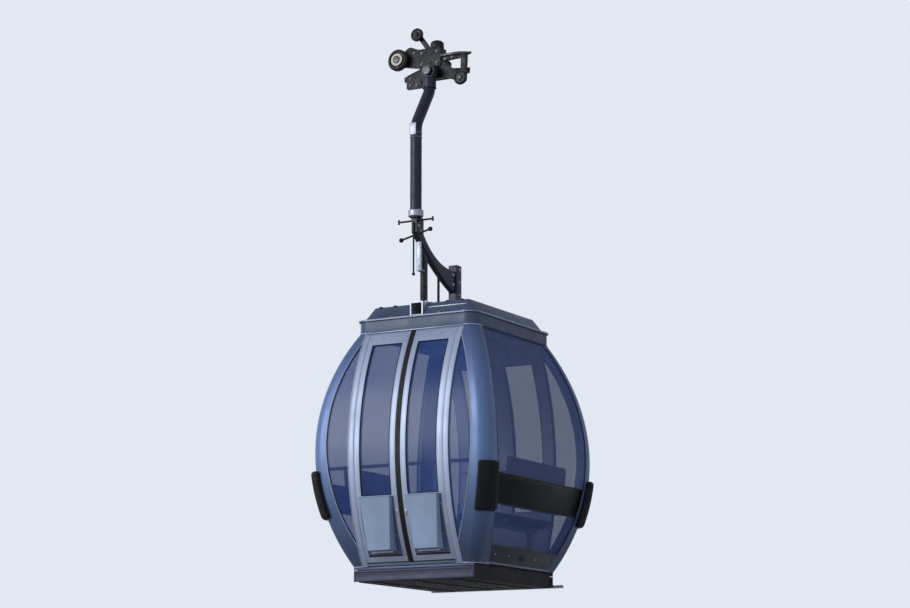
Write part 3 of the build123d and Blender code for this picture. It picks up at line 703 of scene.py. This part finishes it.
class CABLECAR_OT_seals(bpy.types.Operator):
    """Adds the rubber seals round the windows and the seams between the panels"""
    bl_idname = "cable_car.seals"
    bl_label = "Seals"

    def execute(self, context):
        seal, seam = sizes().seal_r, sizes().seam_r
        for wall, panes in (("Y", ("door_panes", "back_panes", "lens_panes_door", "lens_panes_back")),
                            ("X", ("end_panes_upper", "end_panes_lower"))):
            for node in panes:
                outline_bead(node + "_seal", node, seal, outer_face(wall), "seal")
        for node in ("door_fore", "door_aft"):
            outline_bead(node + "_seam", node, seam, leaf_rim, "seal")
        edges = outer_face("Y", OUTER_EDGE)
        for node in ("corner_post_door_fore", "corner_post_door_aft", "door_posts"):
            outline_bead(node + "_rib", node, 1.3 * seam, edges, "frame_silver")
        for node in ("corner_post_back_fore", "corner_post_back_aft", "back_panel"):
            outline_bead(node + "_seam", node, seam, edges, "seal")
        return {"FINISHED"}


class CABLECAR_OT_doors(bpy.types.Operator):
    """Adds the doors' lower panels, their sealing lips, header screws, rain gutter and locks"""
    bl_idname = "cable_car.doors"
    bl_label = "Doors"

    LIPS = (-0.015, -0.006, 0.006, 0.015)       # along X, in the gap between the leaves
    LIP_HALF = 0.003
    STILE = 0.03                                # from a leaf's edge to its screws

    def execute(self, context):
        self.lips()
        for side, end in ENDS:
            span = sorted((side * (LEAF_GAP + 0.045), side * (DOOR_HALF - 0.038)))
            infill(f"door_infill_{end}", -1, span)
            # A dark rubber strip across each leaf's foot under the basket: partly a drain slot, partly
            # painted shade where the basket's shadow falls
            slot = bowed(f"door_slot_{end}", "Y", -1, span, (0.078, 0.096), 0.006, 0.002, 3)
            finished(soften(slot, 0.0015), "seal")
            self.screws(side, end)
            self.lock(side, end)
        self.gutter()
        return {"FINISHED"}

    def lips(self):
        """The doors' soft seal, with lips down its whole height."""
        half = self.LIP_HALF
        lips = [bowed("lip", "Y", -1, (x - half, x + half), (0.035, 2.088), 0.012, 0.006, 40)
                for x in self.LIPS]
        seal = soften(copied("door_seal", "door_seal_form"), 0.003)
        finished(joined("door_seal_form", [seal] + lips), "seal", "door_seal")

    def screws(self, side, end):
        inner, outer = side * (LEAF_GAP + self.STILE), side * (DOOR_HALF - self.STILE)
        spots = [wall_spot("Y", -1, inner + (outer - inner) * k / 3, 2.035) for k in range(4)]
        spots += [wall_spot("Y", -1, x, 0.055) for x in (inner, outer)]
        bolts(f"door_screws_{end}", SCREW_R, SCREW_H, spots, "steel")

    def lock(self, side, end):
        """A flush square-key lock on each leaf's meeting stile."""
        point, facing = wall_spot("Y", -1, side * (LEAF_GAP + 0.024), 0.44)
        span = (point[0] - 0.012, point[0] + 0.012)
        plate = soften(bowed(f"door_lock_{end}", "Y", -1, span, (0.41, 0.47), 0.006, 0.0025, 3), 0.002)
        key = stood(soften(rod("key", "Z", 0.007, (0, 0.005), (0, 0), 16), 0.001), point, facing)
        bpy.data.objects.remove(bpy.data.objects["key"])
        finished(joined(f"door_lock_{end}", [plate, key]), "steel")

    def gutter(self):
        """A small rain gutter over the pair of doors."""
        half = DOOR_HALF + 0.04
        wall = wall_spot("Y", -1, 0, 2.09)[0][1]
        gutter = box("door_gutter", (-half, wall - 0.012, EAVE - 0.012), (half, wall + 0.01, EAVE - 0.002))
        pressed(gutter, "Z", 1, 0.003, -0.006)
        finished(soften(gutter, 0.001), "roof_lip")


class CABLECAR_OT_baskets(bpy.types.Operator):
    """Rounds the ski baskets and adds their rolled rims, feet and screws"""
    bl_idname = "cable_car.baskets"
    bl_label = "Ski Baskets"

    TOP = 0.59
    FOOT_HALF = 0.106
    # From the leaf's middle, and heights
    SCREWS = ((-0.165, 0.5), (0.165, 0.5), (-0.142, 0.25), (0.142, 0.25))

    def execute(self, context):
        softened("ski_baskets", 0.004, "basket_grey", 3)
        outline_bead("basket_rims", "ski_baskets", 0.005, self.on_rim, "frame_silver")
        for side, end in ENDS:
            middle = side * LEAF_MIDDLE
            span = (middle - self.FOOT_HALF, middle + self.FOOT_HALF)
            # A light plate at each basket's foot: partly a real foot, partly a painted highlight along the
            # basket's lower edge
            foot = bowed(f"basket_foot_{end}", "Y", -1, span, (0.126, 0.137), 0.012, 0.05, 2)
            finished(soften(foot, 0.002), "blank_plate")
            spots = [wall_spot("Y", -1, middle + x, height) for x, height in self.SCREWS]
            bolts(f"basket_screws_{end}", SCREW_R, 0.005, spots, "steel")
        return {"FINISHED"}

    def on_rim(self, point):
        """True for points on a basket's front face or its top."""
        height = point.z - SILL
        return wall_spot("Y", -1, 0, height)[0][1] - point.y > 0.03 or height > self.TOP - 0.004


class CABLECAR_OT_ends(bpy.types.Operator):
    """Adds the corner pads, the belts' joints, the end panels' sill lines and vents"""
    bl_idname = "cable_car.ends"
    bl_label = "Ends"

    BELT_EDGES = ((0.5, 0.508), (0.755, 0.763))
    VENT_HEIGHT = 0.085

    def execute(self, context):
        self.pads()
        for side, end in ENDS:
            sill = bowed(f"end_sill_{end}", "X", side, (-0.6, 0.6), (0.004, 0.02), 0.012, 0.005, 3)
            finished(soften(sill, 0.003), "roof_lip")
            trims = [bowed("trim", "X", side, (-0.78, 0.78), heights, 0.012, 0.004, 4)
                     for heights in self.BELT_EDGES]
            finished(soften(joined(f"belt_trim_{end}", trims), 0.002), "seal")
            spots = [wall_spot("X", side, y, self.VENT_HEIGHT) for y in (-0.5, -0.25, 0.25, 0.5)]
            bolts(f"end_screws_{end}", SCREW_R, SCREW_H, spots, "steel")
            x, y, z = wall_spot("X", side, 0.0, self.VENT_HEIGHT)[0]
            plug = soften(rod(f"end_vent_{end}", "X", 0.024, (x - 0.004, x + 0.006), (y, z)), 0.002)
            pressed(plug, "X", side, 0.004, -0.003)
            finished(plug, "seal")
        return {"FINISHED"}

    def pads(self):
        """The corner pads, remeshed, smoothed and swollen again, as moulded rubber."""
        pads = modify(copied("corner_pads", "corner_pads_form"), "REMESH", mode="VOXEL", voxel_size=0.006)
        modify(pads, "SMOOTH", factor=0.5, iterations=90)
        edit_all(pads)
        bpy.ops.transform.shrink_fatten(value=sizes().pad_round)
        mode("OBJECT")
        modify(pads, "DECIMATE", ratio=0.35)
        finished(pads, "rubber", "corner_pads", angle=60)


class CABLECAR_OT_back(bpy.types.Operator):
    """Adds the back wall's lower panels, vent and screws"""
    bl_idname = "cable_car.back"
    bl_label = "Back Wall"

    SLAT_LOW, SLAT_H, SLAT_PITCH = 0.16, 0.008, 0.028

    def execute(self, context):
        for side, end in ENDS:
            infill(f"back_infill_{end}", 1, (side * 0.06, side * 0.412))
            span = sorted((side * 0.13, side * 0.34))
            feet = [self.SLAT_LOW + self.SLAT_PITCH * k for k in range(5)]
            slats = [bowed("slat", "Y", 1, span, (foot, foot + self.SLAT_H), 0.012, 0.007, 2)
                     for foot in feet]
            finished(soften(joined(f"back_vent_{end}", slats), 0.002), "seal")
            spots = [wall_spot("Y", 1, side * x, height)
                     for x in (0.05, 0.43) for height in (0.05, 0.3, 0.55, 2.05)]
            bolts(f"back_screws_{end}", SCREW_R, SCREW_H, spots, "steel")
        return {"FINISHED"}


# Roof and floor pan

class CABLECAR_OT_roof(bpy.types.Operator):
    """Rounds the roof, and adds ribs, a drip edge, screws and the beam's bright ends"""
    bl_idname = "cable_car.roof"
    bl_label = "Roof"

    RIBS = (-0.42, -0.27, 0.27, 0.42)
    RIB_HALF, RIB_LENGTH, RIB_END = 0.014, 0.52, 0.08
    DRIP_R, DRIP_END = 0.006, 0.11
    SCREW_EDGE = 0.02

    def execute(self, context):
        softened("roof_band", 0.004, "roof_dark", 3)
        softened("roof_deck", 0.005, "roof_lip", 3)
        softened("roof_plate", 0.004, "galvanised")
        softened("cross_beam", 0.005, "galvanised")
        softened("roof_cap", 0.006, "roof_dark", 3)
        self.ribs()
        self.drip()
        self.ends()
        self.screws()
        return {"FINISHED"}

    def ribs(self):
        low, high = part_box("roof_cap")
        starts = (low.y + self.RIB_END, high.y - self.RIB_END - self.RIB_LENGTH)
        ribs = [soften(box("rib", (x - self.RIB_HALF, y, high.z - 0.004),
                           (x + self.RIB_HALF, y + self.RIB_LENGTH, high.z + 0.006)), 0.004)
                for x in self.RIBS for y in starts]
        finished(joined("roof_ribs", ribs), "roof_dark")

    def drip(self):
        """The lip's folded edge along the four sides of the deck."""
        low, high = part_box("roof_deck")
        z = low.z + 0.004
        rods = [rod("drip", "X", self.DRIP_R, (low.x + self.DRIP_END, high.x - self.DRIP_END), (y, z), 12)
                for y in (low.y + 0.002, high.y - 0.002)]
        rods += [rod("drip", "Y", self.DRIP_R, (low.y + self.DRIP_END, high.y - self.DRIP_END), (x, z), 12)
                 for x in (low.x + 0.002, high.x - 0.002)]
        finished(joined("roof_drip", rods), "frame_silver")

    def ends(self):
        """Bright rims on the open ends of the cross beam."""
        low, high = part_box("cross_beam")
        rims = [hollowed(box("rim", (low.x, y - 0.002, low.z), (high.x, y + 0.002, high.z)), 0.012)
                for y in (low.y, high.y)]
        finished(joined("beam_rims", rims), "blank_plate")

    def screws(self):
        low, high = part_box("roof_deck")
        edge = self.SCREW_EDGE
        places = [(x, y) for x in (-0.5, -0.25, 0.25, 0.5) for y in (low.y + edge, high.y - edge)]
        places += [(x, y) for x in (low.x + edge, high.x - edge) for y in (-0.3, 0.0, 0.32, 0.64, 0.94)]
        spots = [((x, y, high.z), (0, 0, 1)) for x, y in places]
        bolts("roof_screws", 0.009, 0.008, spots, "bolt_zinc")


class CABLECAR_OT_pan(bpy.types.Operator):
    """Gives the floor pan its painted cheeks, and its ribs, screws and plugs below"""
    bl_idname = "cable_car.pan"
    bl_label = "Floor Pan"

    OVER = 0.002                            # how far the cheeks stand over the pan's ends
    MEMBERS = (-0.4, 0.0, 0.4)
    MEMBER_HALF = 0.03

    def execute(self, context):
        # The whole pan takes the brown-black underside finish, its ends too as painted shade; only its long
        # sides get lighter cheeks
        softened("floor_pan", 0.006, "underside", 3)
        softened("floor", 0.003, "floor_mat")
        softened("guide_bar", 0.002, "steel")
        low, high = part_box("floor_pan")
        for side, wall, y in ((-1, "door", low.y), (1, "back", high.y)):
            cheek = self.strip(f"pan_cheek_{wall}", y, 0.004, (low.z + 0.004, high.z - 0.03))
            pressed(cheek, "Y", side, 0.014, -0.003)
            finished(soften(cheek, 0.002), "pan_grey")
            line = self.strip(f"pan_line_{wall}", y, 0.006, (high.z - 0.026, high.z - 0.002))
            finished(soften(line, 0.003), "infill_blue")
        self.under(low, high)
        return {"FINISHED"}

    def strip(self, name, y, half, heights):
        """A flat strip along one side of the pan."""
        low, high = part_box("floor_pan")
        start, end = low.x - self.OVER, high.x + self.OVER
        return box(name, (start, y - half, heights[0]), (end, y + half, heights[1]))

    def under(self, low, high):
        """Cross members, drain plugs and screws under the pan."""
        half = self.MEMBER_HALF
        members = [soften(box("member", (x - half, low.y + 0.05, low.z - 0.008),
                              (x + half, high.y - 0.09, low.z + 0.004)), 0.003) for x in self.MEMBERS]
        finished(joined("pan_members", members), "underside")
        spots = [((x + dx, low.y + dy, low.z - 0.007), (0, 0, -1)) for x in self.MEMBERS
                 for dx in (-0.018, 0.018) for dy in (0.1, 0.5, 0.9, 1.3)]
        bolts("pan_screws", 0.005, 0.003, spots, "steel")
        plugs = [soften(rod("plug", "Z", 0.022, (low.z - 0.006, low.z + 0.004), (x, y), 20), 0.002)
                 for x in (-0.2, 0.2) for y in (CABIN_Y - 0.45, CABIN_Y + 0.45)]
        finished(joined("pan_plugs", plugs), "seal")


# Inside

class CABLECAR_OT_inside(bpy.types.Operator):
    """Rounds the seats and rails, and adds the ceiling lamp and vents"""
    bl_idname = "cable_car.inside"
    bl_label = "Inside"

    LAMP_HALF = (0.07, 0.3)
    VENT_HALF = (0.06, 0.12)
    VENT_X = 0.35

    def execute(self, context):
        softened("seat_cushions", 0.012, "seat", 4)
        softened("seat_backs", 0.008, "seat", 3)
        softened("bench_frames", 0.003, "galvanised")
        softened("window_bars", 0.003, "rubber")
        softened("ceiling", 0.002, "lining")
        finished(soften(self.fitting("ceiling_lamp", 0, self.LAMP_HALF, 0.022), 0.008, 3), "blank_plate")
        for side in SIDES:
            vent = self.fitting("ceiling_vent", side * self.VENT_X, self.VENT_HALF, 0.008)
            pressed(vent, "Z", -1, 0.01, -0.004)
            finished(soften(vent, 0.0015), "seal")
        return {"FINISHED"}

    def fitting(self, name, x, half, drop):
        """A low box under the ceiling."""
        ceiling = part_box("ceiling")[0].z
        return box(name, (x - half[0], CABIN_Y - half[1], ceiling - drop),
                   (x + half[0], CABIN_Y + half[1], ceiling + 0.002))


# Hanger and suspension

class CABLECAR_OT_hanger(bpy.types.Operator):
    """Rounds the hanger, and adds its weld seams, blank plate, earth cable, clips and bolts"""
    bl_idname = "cable_car.hanger"
    bl_label = "Hanger"

    SOCKET_END = -0.16                      # height where the tube enters its head
    HEAD_R, HEAD_HALF = 0.066, 0.029        # the head's hub and half its width
    PLATE_HALF, PLATE_HEIGHTS = 0.034, (-0.665, -0.555)
    CABLE_R, CABLE_X, CABLE_HEIGHTS = 0.006, 0.012, (-1.352, -0.7)
    CLIPS = (-0.75, -0.95, -1.15, -1.32)
    BOLT_CIRCLE = 0.061

    def execute(self, context):
        softened("hanger_head", 0.004, "hanger_paint", 3)
        softened("hanger_collar", 0.006, "galvanised", 3)
        low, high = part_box("hanger_arm")
        arm_y, head_y, r = low.y + high.x, high.y - high.x, high.x
        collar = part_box("hanger_collar")[1].z
        welds = [ring("weld", "Z", r + 0.009, 0.005, (0, head_y, self.SOCKET_END)),
                 ring("weld", "Z", r + 0.003, 0.005, (0, arm_y, collar))]
        welds += [ring("weld", "Y", self.HEAD_R, 0.004, (0, head_y + side * self.HEAD_HALF, 0))
                  for side in SIDES]
        finished(joined("hanger_welds", welds), "hanger_paint")
        self.plate(arm_y, r)
        self.cable(arm_y + r)
        spots = [((x, y, collar), (0, 0, 1)) for x, y in circle(0, arm_y, self.BOLT_CIRCLE, 6)]
        bolts("collar_bolts", 0.006, 0.007, spots, "bolt_zinc")
        return {"FINISHED"}

    def plate(self, arm_y, r):
        """A blank light plate strapped to the tube's bend."""
        y, half, heights = arm_y - r - 0.009, self.PLATE_HALF, self.PLATE_HEIGHTS
        plate = box("hanger_plate", (-half, y - 0.003, heights[0]), (half, y + 0.003, heights[1]))
        finished(soften(plate, 0.002), "blank_plate")
        straps = [ring("strap", "Z", r + 0.002, 0.003, (0, arm_y, z), 40) for z in (-0.64, -0.68)]
        finished(joined("hanger_straps", straps), "steel")

    def cable(self, back):
        """An earth cable down the back of the tube, with its clips."""
        y = back + self.CABLE_R
        cable = rod("hanger_cable", "Z", self.CABLE_R, self.CABLE_HEIGHTS, (self.CABLE_X, y), 12)
        finished(cable, "seal")
        wide, half = 2 * self.CABLE_X, 0.008
        clips = [soften(box("clip", (0.0, y - half, z - half), (wide, y + half + 0.001, z + half)), 0.002)
                 for z in self.CLIPS]
        finished(joined("cable_clips", clips), "steel")


class CABLECAR_OT_suspension(bpy.types.Operator):
    """Rounds the suspension, and adds its base plates, gussets and bolts"""
    bl_idname = "cable_car.suspension"
    bl_label = "Suspension"

    BASE_TOP = 0.012                        # of the base plates, over the beam
    PROP = (-0.31, -0.19)                   # along Y, the plate under the prop
    GUSSET_LENGTH, GUSSET_HEIGHT, GUSSET_HALF = 0.045, 0.09, 0.004
    GUSSET_TIP = 0.12                       # how much of its length is left at the top
    FOOT_X, BOX_X, LINK_Y = 0.027, 0.045, -0.3485       # the faces that carry bolts

    def execute(self, context):
        softened("hanger_foot", 0.004, "hanger_paint", 3)
        softened("suspension_prop", 0.003, "grip_black")
        softened("suspension_link", 0.002, "galvanised")
        softened("suspension_box", 0.005, "hanger_paint", 3)
        softened("cross_bars", 0.003, "grip_black")
        softened("contact_rod", 0.002, "grip_black")
        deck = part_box("cross_beam")[1].z
        low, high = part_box("suspension_box")
        # Half the length along X, the ends along Y and the top
        rows = ((0.064, low.y - 0.05, high.y + 0.05, self.BASE_TOP), (0.06, *self.PROP, self.BASE_TOP),
                (0.045, -0.02, 0.045, 0.01))
        bases = [box("base", (-half, start, deck - 0.002), (half, end, deck + top))
                 for half, start, end, top in rows]
        finished(soften(joined("suspension_bases", bases), 0.002), "galvanised")
        spots = [((x, y, deck + self.BASE_TOP), (0, 0, 1)) for x in (-0.05, 0.05)
                 for y in (low.y - 0.03, high.y + 0.03, self.PROP[0] + 0.015, self.PROP[1] - 0.015)]
        bolts("base_bolts", 0.008, 0.01, spots, "bolt_zinc")
        self.gussets(low, high, deck)
        self.foot_bolts(low)
        return {"FINISHED"}

    def gussets(self, low, high, deck):
        """Triangular ribs at the box's foot."""
        half, height = self.GUSSET_HALF, self.GUSSET_HEIGHT
        pieces = []
        for side, y in ((-1, low.y), (1, high.y)):
            rib = box("gusset", (-half, 0, 0), (half, self.GUSSET_LENGTH, height))
            pick_faces(rib, "Z", 1)
            bpy.ops.transform.resize(value=(1, self.GUSSET_TIP, 1), center_override=(0, 0, height))
            mode("OBJECT")
            outward = Matrix.Scale(side, 4, (0, 1, 0))
            pieces.append(duplicate(rib, Matrix.Translation((0, y, deck + 0.01)) @ outward))
            bpy.data.objects.remove(rib)
        ribs = joined("box_gussets", [turned_out(piece) for piece in pieces])
        finished(soften(ribs, 0.001), "hanger_paint")

    def foot_bolts(self, low):
        """Bolts through the foot, the link and the box, as Y and Z on both sides of each."""
        foot = ((-0.4, -1.5), (-0.365, -1.54), (0.235, -1.84), (0.235, -1.93))
        ends = [(low.y + 0.045, z) for z in (-1.78, -1.9, -2.02)]
        spots = [((side * x, y, z), (side, 0, 0)) for side in SIDES
                 for x, places in ((self.FOOT_X, foot), (self.BOX_X, ends)) for y, z in places]
        bolts("foot_bolts", 0.011, 0.012, spots, "bolt_zinc")
        spots = [((0, self.LINK_Y, z), (0, -1, 0)) for z in (-1.66, -1.86)]
        bolts("link_bolts", 0.007, 0.008, spots, "bolt_zinc")


# Grip

class CABLECAR_OT_grip(bpy.types.Operator):
    """Rounds the grip's casting and jaws, and adds its bolts, nuts and springs"""
    bl_idname = "cable_car.grip"
    bl_label = "Grip"

    # Node, rounding, finish and the rounding's segments
    CASTINGS = (("grip_frame", 0.004, "grip_black", 3), ("jaw", 0.003, "grip_black", 2),
                ("rope_noses", 0.003, "nose_brown", 2), ("friction_plate", 0.003, "dark_steel", 2),
                ("hanger_pin", 0.004, "dark_steel", 3), ("jaw_pin", 0.002, "dark_steel", 2),
                ("roller_axles", 0.002, "dark_steel", 2), ("spring_tower", 0.002, "grip_black", 2))
    JAW_PIN = (0.06, 0.11)                  # Y and Z of the jaw's pin
    PIN_END, SPRING_X, SPRING_R = 0.098, 0.0622, 0.0335
    BAND_R, BAND_HEIGHTS = 0.0605, (0.25, 0.268)        # round the spring tower
    # Faces of the casting by their Y, with the X and Z of the bolts on each
    BOLTS = ((-0.11, ((-0.11, 0.095), (-0.11, 0.2), (0.05, 0.095), (0.05, 0.2))),
             (-0.095, ((-0.2, 0.22), (-0.26, 0.2), (0.13, 0.12), (0.2, 0.125))),
             (-0.0795, ((-0.25, -0.08), (-0.25, -0.02), (-0.18, -0.08))))

    def execute(self, context):
        for node, width, finish, segments in self.CASTINGS:
            softened(node, width, finish, segments, body="jaw" if node == "jaw" else "grip")
        self.tower()
        self.core_bolts()
        self.springs()
        self.plate_screws()
        return {"FINISHED"}

    def tower(self):
        """Bands and a cap nut on the spring tower."""
        low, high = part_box("spring_tower")
        x, y = (low.x + high.x) / 2, (low.y + high.y) / 2
        bands = [ring("band", "Z", self.BAND_R, 0.004, (x, y, z)) for z in self.BAND_HEIGHTS]
        cap = soften(rod("cap", "Z", 0.02, (high.z - 0.002, high.z + 0.008), (x, y), 6), 0.002)
        finished(joined("tower_bands", bands + [cap]), "dark_steel", body="grip")

    def core_bolts(self):
        spots = [((x, y, z), (0, -1, 0)) for y, places in self.BOLTS for x, z in places]
        bolts("grip_bolts", 0.010, 0.010, spots, "dark_steel", body="grip")
        spots = [((side * self.PIN_END, *self.JAW_PIN), (side, 0, 0)) for side in SIDES]
        bolts("jaw_pin_nuts", 0.012, 0.008, spots, "dark_steel", body="grip")

    def springs(self):
        """Closing springs round the jaw's pin, between its lugs and its boss."""
        coils = [ring("coil", "X", self.SPRING_R, 0.0022, (side * self.SPRING_X, *self.JAW_PIN), 40)
                 for side in SIDES]
        finished(joined("jaw_springs", coils), "spring_red", body="grip")

    def plate_screws(self):
        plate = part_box("friction_plate")[1].z
        spots = [((x, y, plate), (0, 0, 1)) for x in (0.13, 0.24) for y in (-0.09, -0.015)]
        bolts("plate_screws", 0.008, 0.003, spots, "steel", body="grip")


class CABLECAR_OT_wheels(bpy.types.Operator):
    """Rounds the three wheels, and adds their tyres' beads, hub ring and screws"""
    bl_idname = "cable_car.wheels"
    bl_label = "Wheels"

    # Wheel, number of screws and the radius of their circle
    WHEELS = (("track_wheel", 6, 0.064), ("guide_roller", 4, 0.036), ("lever_roller", 4, 0.034))
    HUB_R, HUB_WALL = 0.058, 0.022
    HUB_SPAN = (-0.005, 0.006)              # from the wheel's outer face
    BEADS = (0.3, 0.7)                      # across the tyre, as shares of its width

    def execute(self, context):
        for node, count, screw_circle in self.WHEELS:
            softened(node, 0.0025, "roller_black", body=node)
            low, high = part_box(node)
            x, z, r = (low.x + high.x) / 2, (low.z + high.z) / 2, (high.x - low.x) / 2
            width = high.y - low.y
            beads = [ring("bead", "Y", r - 0.0015, 0.0035, (x, low.y + share * width, z), 56)
                     for share in self.BEADS]
            finished(joined(node + "_tyre", beads), "rubber", body=node)
            web = low.y + width / 4 + 0.001
            spots = [((sx, web, sz), (0, -1, 0)) for sx, sz in circle(x, z, screw_circle, count)]
            bolts(node + "_screws", 0.005, 0.006, spots, "dark_steel", body=node)
            if node == "track_wheel":
                self.hub(x, low.y, z)
        return {"FINISHED"}

    def hub(self, x, face, z):
        """The pale ring on the track wheel's hub."""
        span = (face + self.HUB_SPAN[0], face + self.HUB_SPAN[1])
        hub = hollowed(rod("hub", "Y", self.HUB_R, span, (x, z), 56), self.HUB_WALL)
        finished(soften(turned_out(hub), 0.002), "hub_cream", body="track_wheel")


# Stage

BACKGROUND = (0.76, 0.81, 0.88, 1)


def seen_by(graph, mirrored):
    """How much a ray sees the pale background: all of it from the camera or through glass, some reflected."""
    path = graph.add("LightPath").outputs
    seen = graph.ramp(path["Is Glossy Ray"], 0, 1, 0.0, mirrored)
    for ray in ("Is Camera Ray", "Is Transmission Ray"):
        seen = graph.greatest(seen, path[ray])
    return seen


class CABLECAR_OT_stage(bpy.types.Operator):
    """Adds the pale floor, the soft lamps, the world and the camera"""
    bl_idname = "cable_car.stage"
    bl_label = "Stage"

    CAMERA = Vector((10.841, -19.007, -1.708))      # from the sill's height
    LENS = 97.0
    FLOOR_DROP = 0.04                               # from the camera's height down to the floor
    FLOOR_SIZE = 160
    HORIZON, ZENITH = (0.84, 0.92, 1.06), (0.16, 0.2, 0.3)
    BRIGHT_WAY = (-0.7, -0.7, 0.1)                  # toward where the world's light is strongest
    LAMPS_AIM = Vector((0, 0, -2.5))
    # Name, place, size, watts and colour
    LAMPS = (("key", (-9, -15.5, 2.5), 9, 1300, (0.97, 0.98, 1.0)),
             ("fill", (14, -3, -1), 8, 260, (0.85, 0.9, 1.0)),
             ("back", (-4, 13, 6), 8, 950, (0.92, 0.96, 1.0)),
             ("top", (0, 0, 11), 8, 300, (1.0, 1.0, 1.0)))

    def execute(self, context):
        self.floor()
        self.world()
        self.lamps()
        self.camera()
        return {"FINISHED"}

    def floor(self):
        nothing_picked()
        height = SILL + self.CAMERA.z - self.FLOOR_DROP
        bpy.ops.mesh.primitive_plane_add(size=self.FLOOR_SIZE, location=(0, 0, height))
        floor = named("studio_floor")
        look = Finish("StudioFloor", Roughness=0.7, Emission_Color=BACKGROUND)
        pale = look.mixed(look.ramp(look.noise(0.4), 0.3, 0.7), (0.19, 0.19, 0.2), (0.21, 0.21, 0.22))
        from_camera = look.add("LightPath").outputs["Is Camera Ray"]
        look.feed("Base Color", look.mixed(from_camera, (0.3, 0.29, 0.28), pale))
        look.feed("Emission Strength", look.ramp(seen_by(look, 0.1), 0, 1, 0.0, 0.88))
        from_below = look.add("NewGeometry").outputs["Backfacing"]
        look.feed("Alpha", look.ramp(from_below, 0, 1, 1.0, 0.0))
        floor.data.materials.append(look.material)
        floor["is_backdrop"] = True

    def world(self):
        """A graded light on the cabin, and the pale background that the camera sees."""
        world = bpy.data.worlds.new("Studio")
        bpy.context.scene.world = world
        world.use_nodes = True
        world.node_tree.nodes.clear()
        graph = Graph(world.node_tree)
        way = graph.place("Generated")
        light = graph.add("Background")
        rise = graph.ramp(graph.split(way)["Z"], 0.02, 0.62)
        graph.links.new(graph.mixed(rise, self.HORIZON, self.ZENITH), light.inputs["Color"])
        toward = graph.add("VectorMath")
        toward.operation = "DOT_PRODUCT"
        toward.inputs[1].default_value = self.BRIGHT_WAY
        graph.links.new(way, toward.inputs[0])
        graph.links.new(graph.ramp(toward.outputs["Value"], -0.6, 0.95, 0.5, 1.7), light.inputs["Strength"])
        seen = graph.add("Background", Color=BACKGROUND, Strength=1.0)
        mix = graph.add("MixShader")
        graph.links.new(seen_by(graph, 0.25), mix.inputs["Fac"])
        graph.links.new(light.outputs["Background"], mix.inputs[1])
        graph.links.new(seen.outputs["Background"], mix.inputs[2])
        graph.links.new(mix.outputs["Shader"], graph.add("OutputWorld").inputs["Surface"])

    def lamps(self):
        for name, place, size, watts, tint in self.LAMPS:
            lamp = bpy.data.lights.new(name, "AREA")
            lamp.energy, lamp.size, lamp.color = watts, size, tint
            holder = self.placed(name, lamp, Vector(place), self.LAMPS_AIM)
            holder.visible_glossy = name == "key"

    def camera(self):
        low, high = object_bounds()
        camera = bpy.data.cameras.new("camera")
        camera.lens = self.LENS
        camera.clip_end = 300
        place = self.CAMERA + Vector((0, 0, SILL))
        bpy.context.scene.camera = self.placed("camera", camera, place, (low + high) / 2)
        bpy.context.scene.view_settings.view_transform = "Standard"

    def placed(self, name, data, place, aim):
        """A lamp or camera at a place, looking at a point."""
        holder = added(name, data)
        holder.location = place
        holder.rotation_mode = "QUATERNION"
        holder.rotation_quaternion = (place - aim).to_track_quat("Z", "Y")
        return holder


OPERATORS = (CABLECAR_OT_finishes, CABLECAR_OT_shell, CABLECAR_OT_seals, CABLECAR_OT_doors,
             CABLECAR_OT_baskets, CABLECAR_OT_ends, CABLECAR_OT_back, CABLECAR_OT_roof, CABLECAR_OT_pan,
             CABLECAR_OT_inside, CABLECAR_OT_hanger, CABLECAR_OT_suspension, CABLECAR_OT_grip,
             CABLECAR_OT_wheels, CABLECAR_OT_stage)


class CABLECAR_PT_panel(bpy.types.Panel):
    """Lists the operators and the colours in the sidebar"""
    bl_idname = "CABLECAR_PT_panel"
    bl_label = "Cable Car"
    bl_space_type = "VIEW_3D"
    bl_region_type = "UI"
    bl_category = "Cable Car"

    def draw(self, context):
        for operator in OPERATORS:
            self.layout.operator(operator.bl_idname)
        for group in (context.scene.cable_car_sizes, context.scene.cable_car_colours):
            for key in group.__annotations__:
                self.layout.prop(group, key)


CLASSES = (CableCarColours, CableCarSizes, *OPERATORS, CABLECAR_PT_panel)


def register():
    for cls in CLASSES:
        bpy.utils.register_class(cls)
    bpy.types.Scene.cable_car_colours = bpy.props.PointerProperty(type=CableCarColours)
    bpy.types.Scene.cable_car_sizes = bpy.props.PointerProperty(type=CableCarSizes)


def unregister():
    del bpy.types.Scene.cable_car_sizes
    del bpy.types.Scene.cable_car_colours
    for cls in reversed(CLASSES):
        bpy.utils.unregister_class(cls)


def main():
    register()
    for operator in OPERATORS:
        group, name = operator.bl_idname.split(".")
        getattr(getattr(bpy.ops, group), name)()
    nothing_picked()


if __name__ == "__main__":
    main()
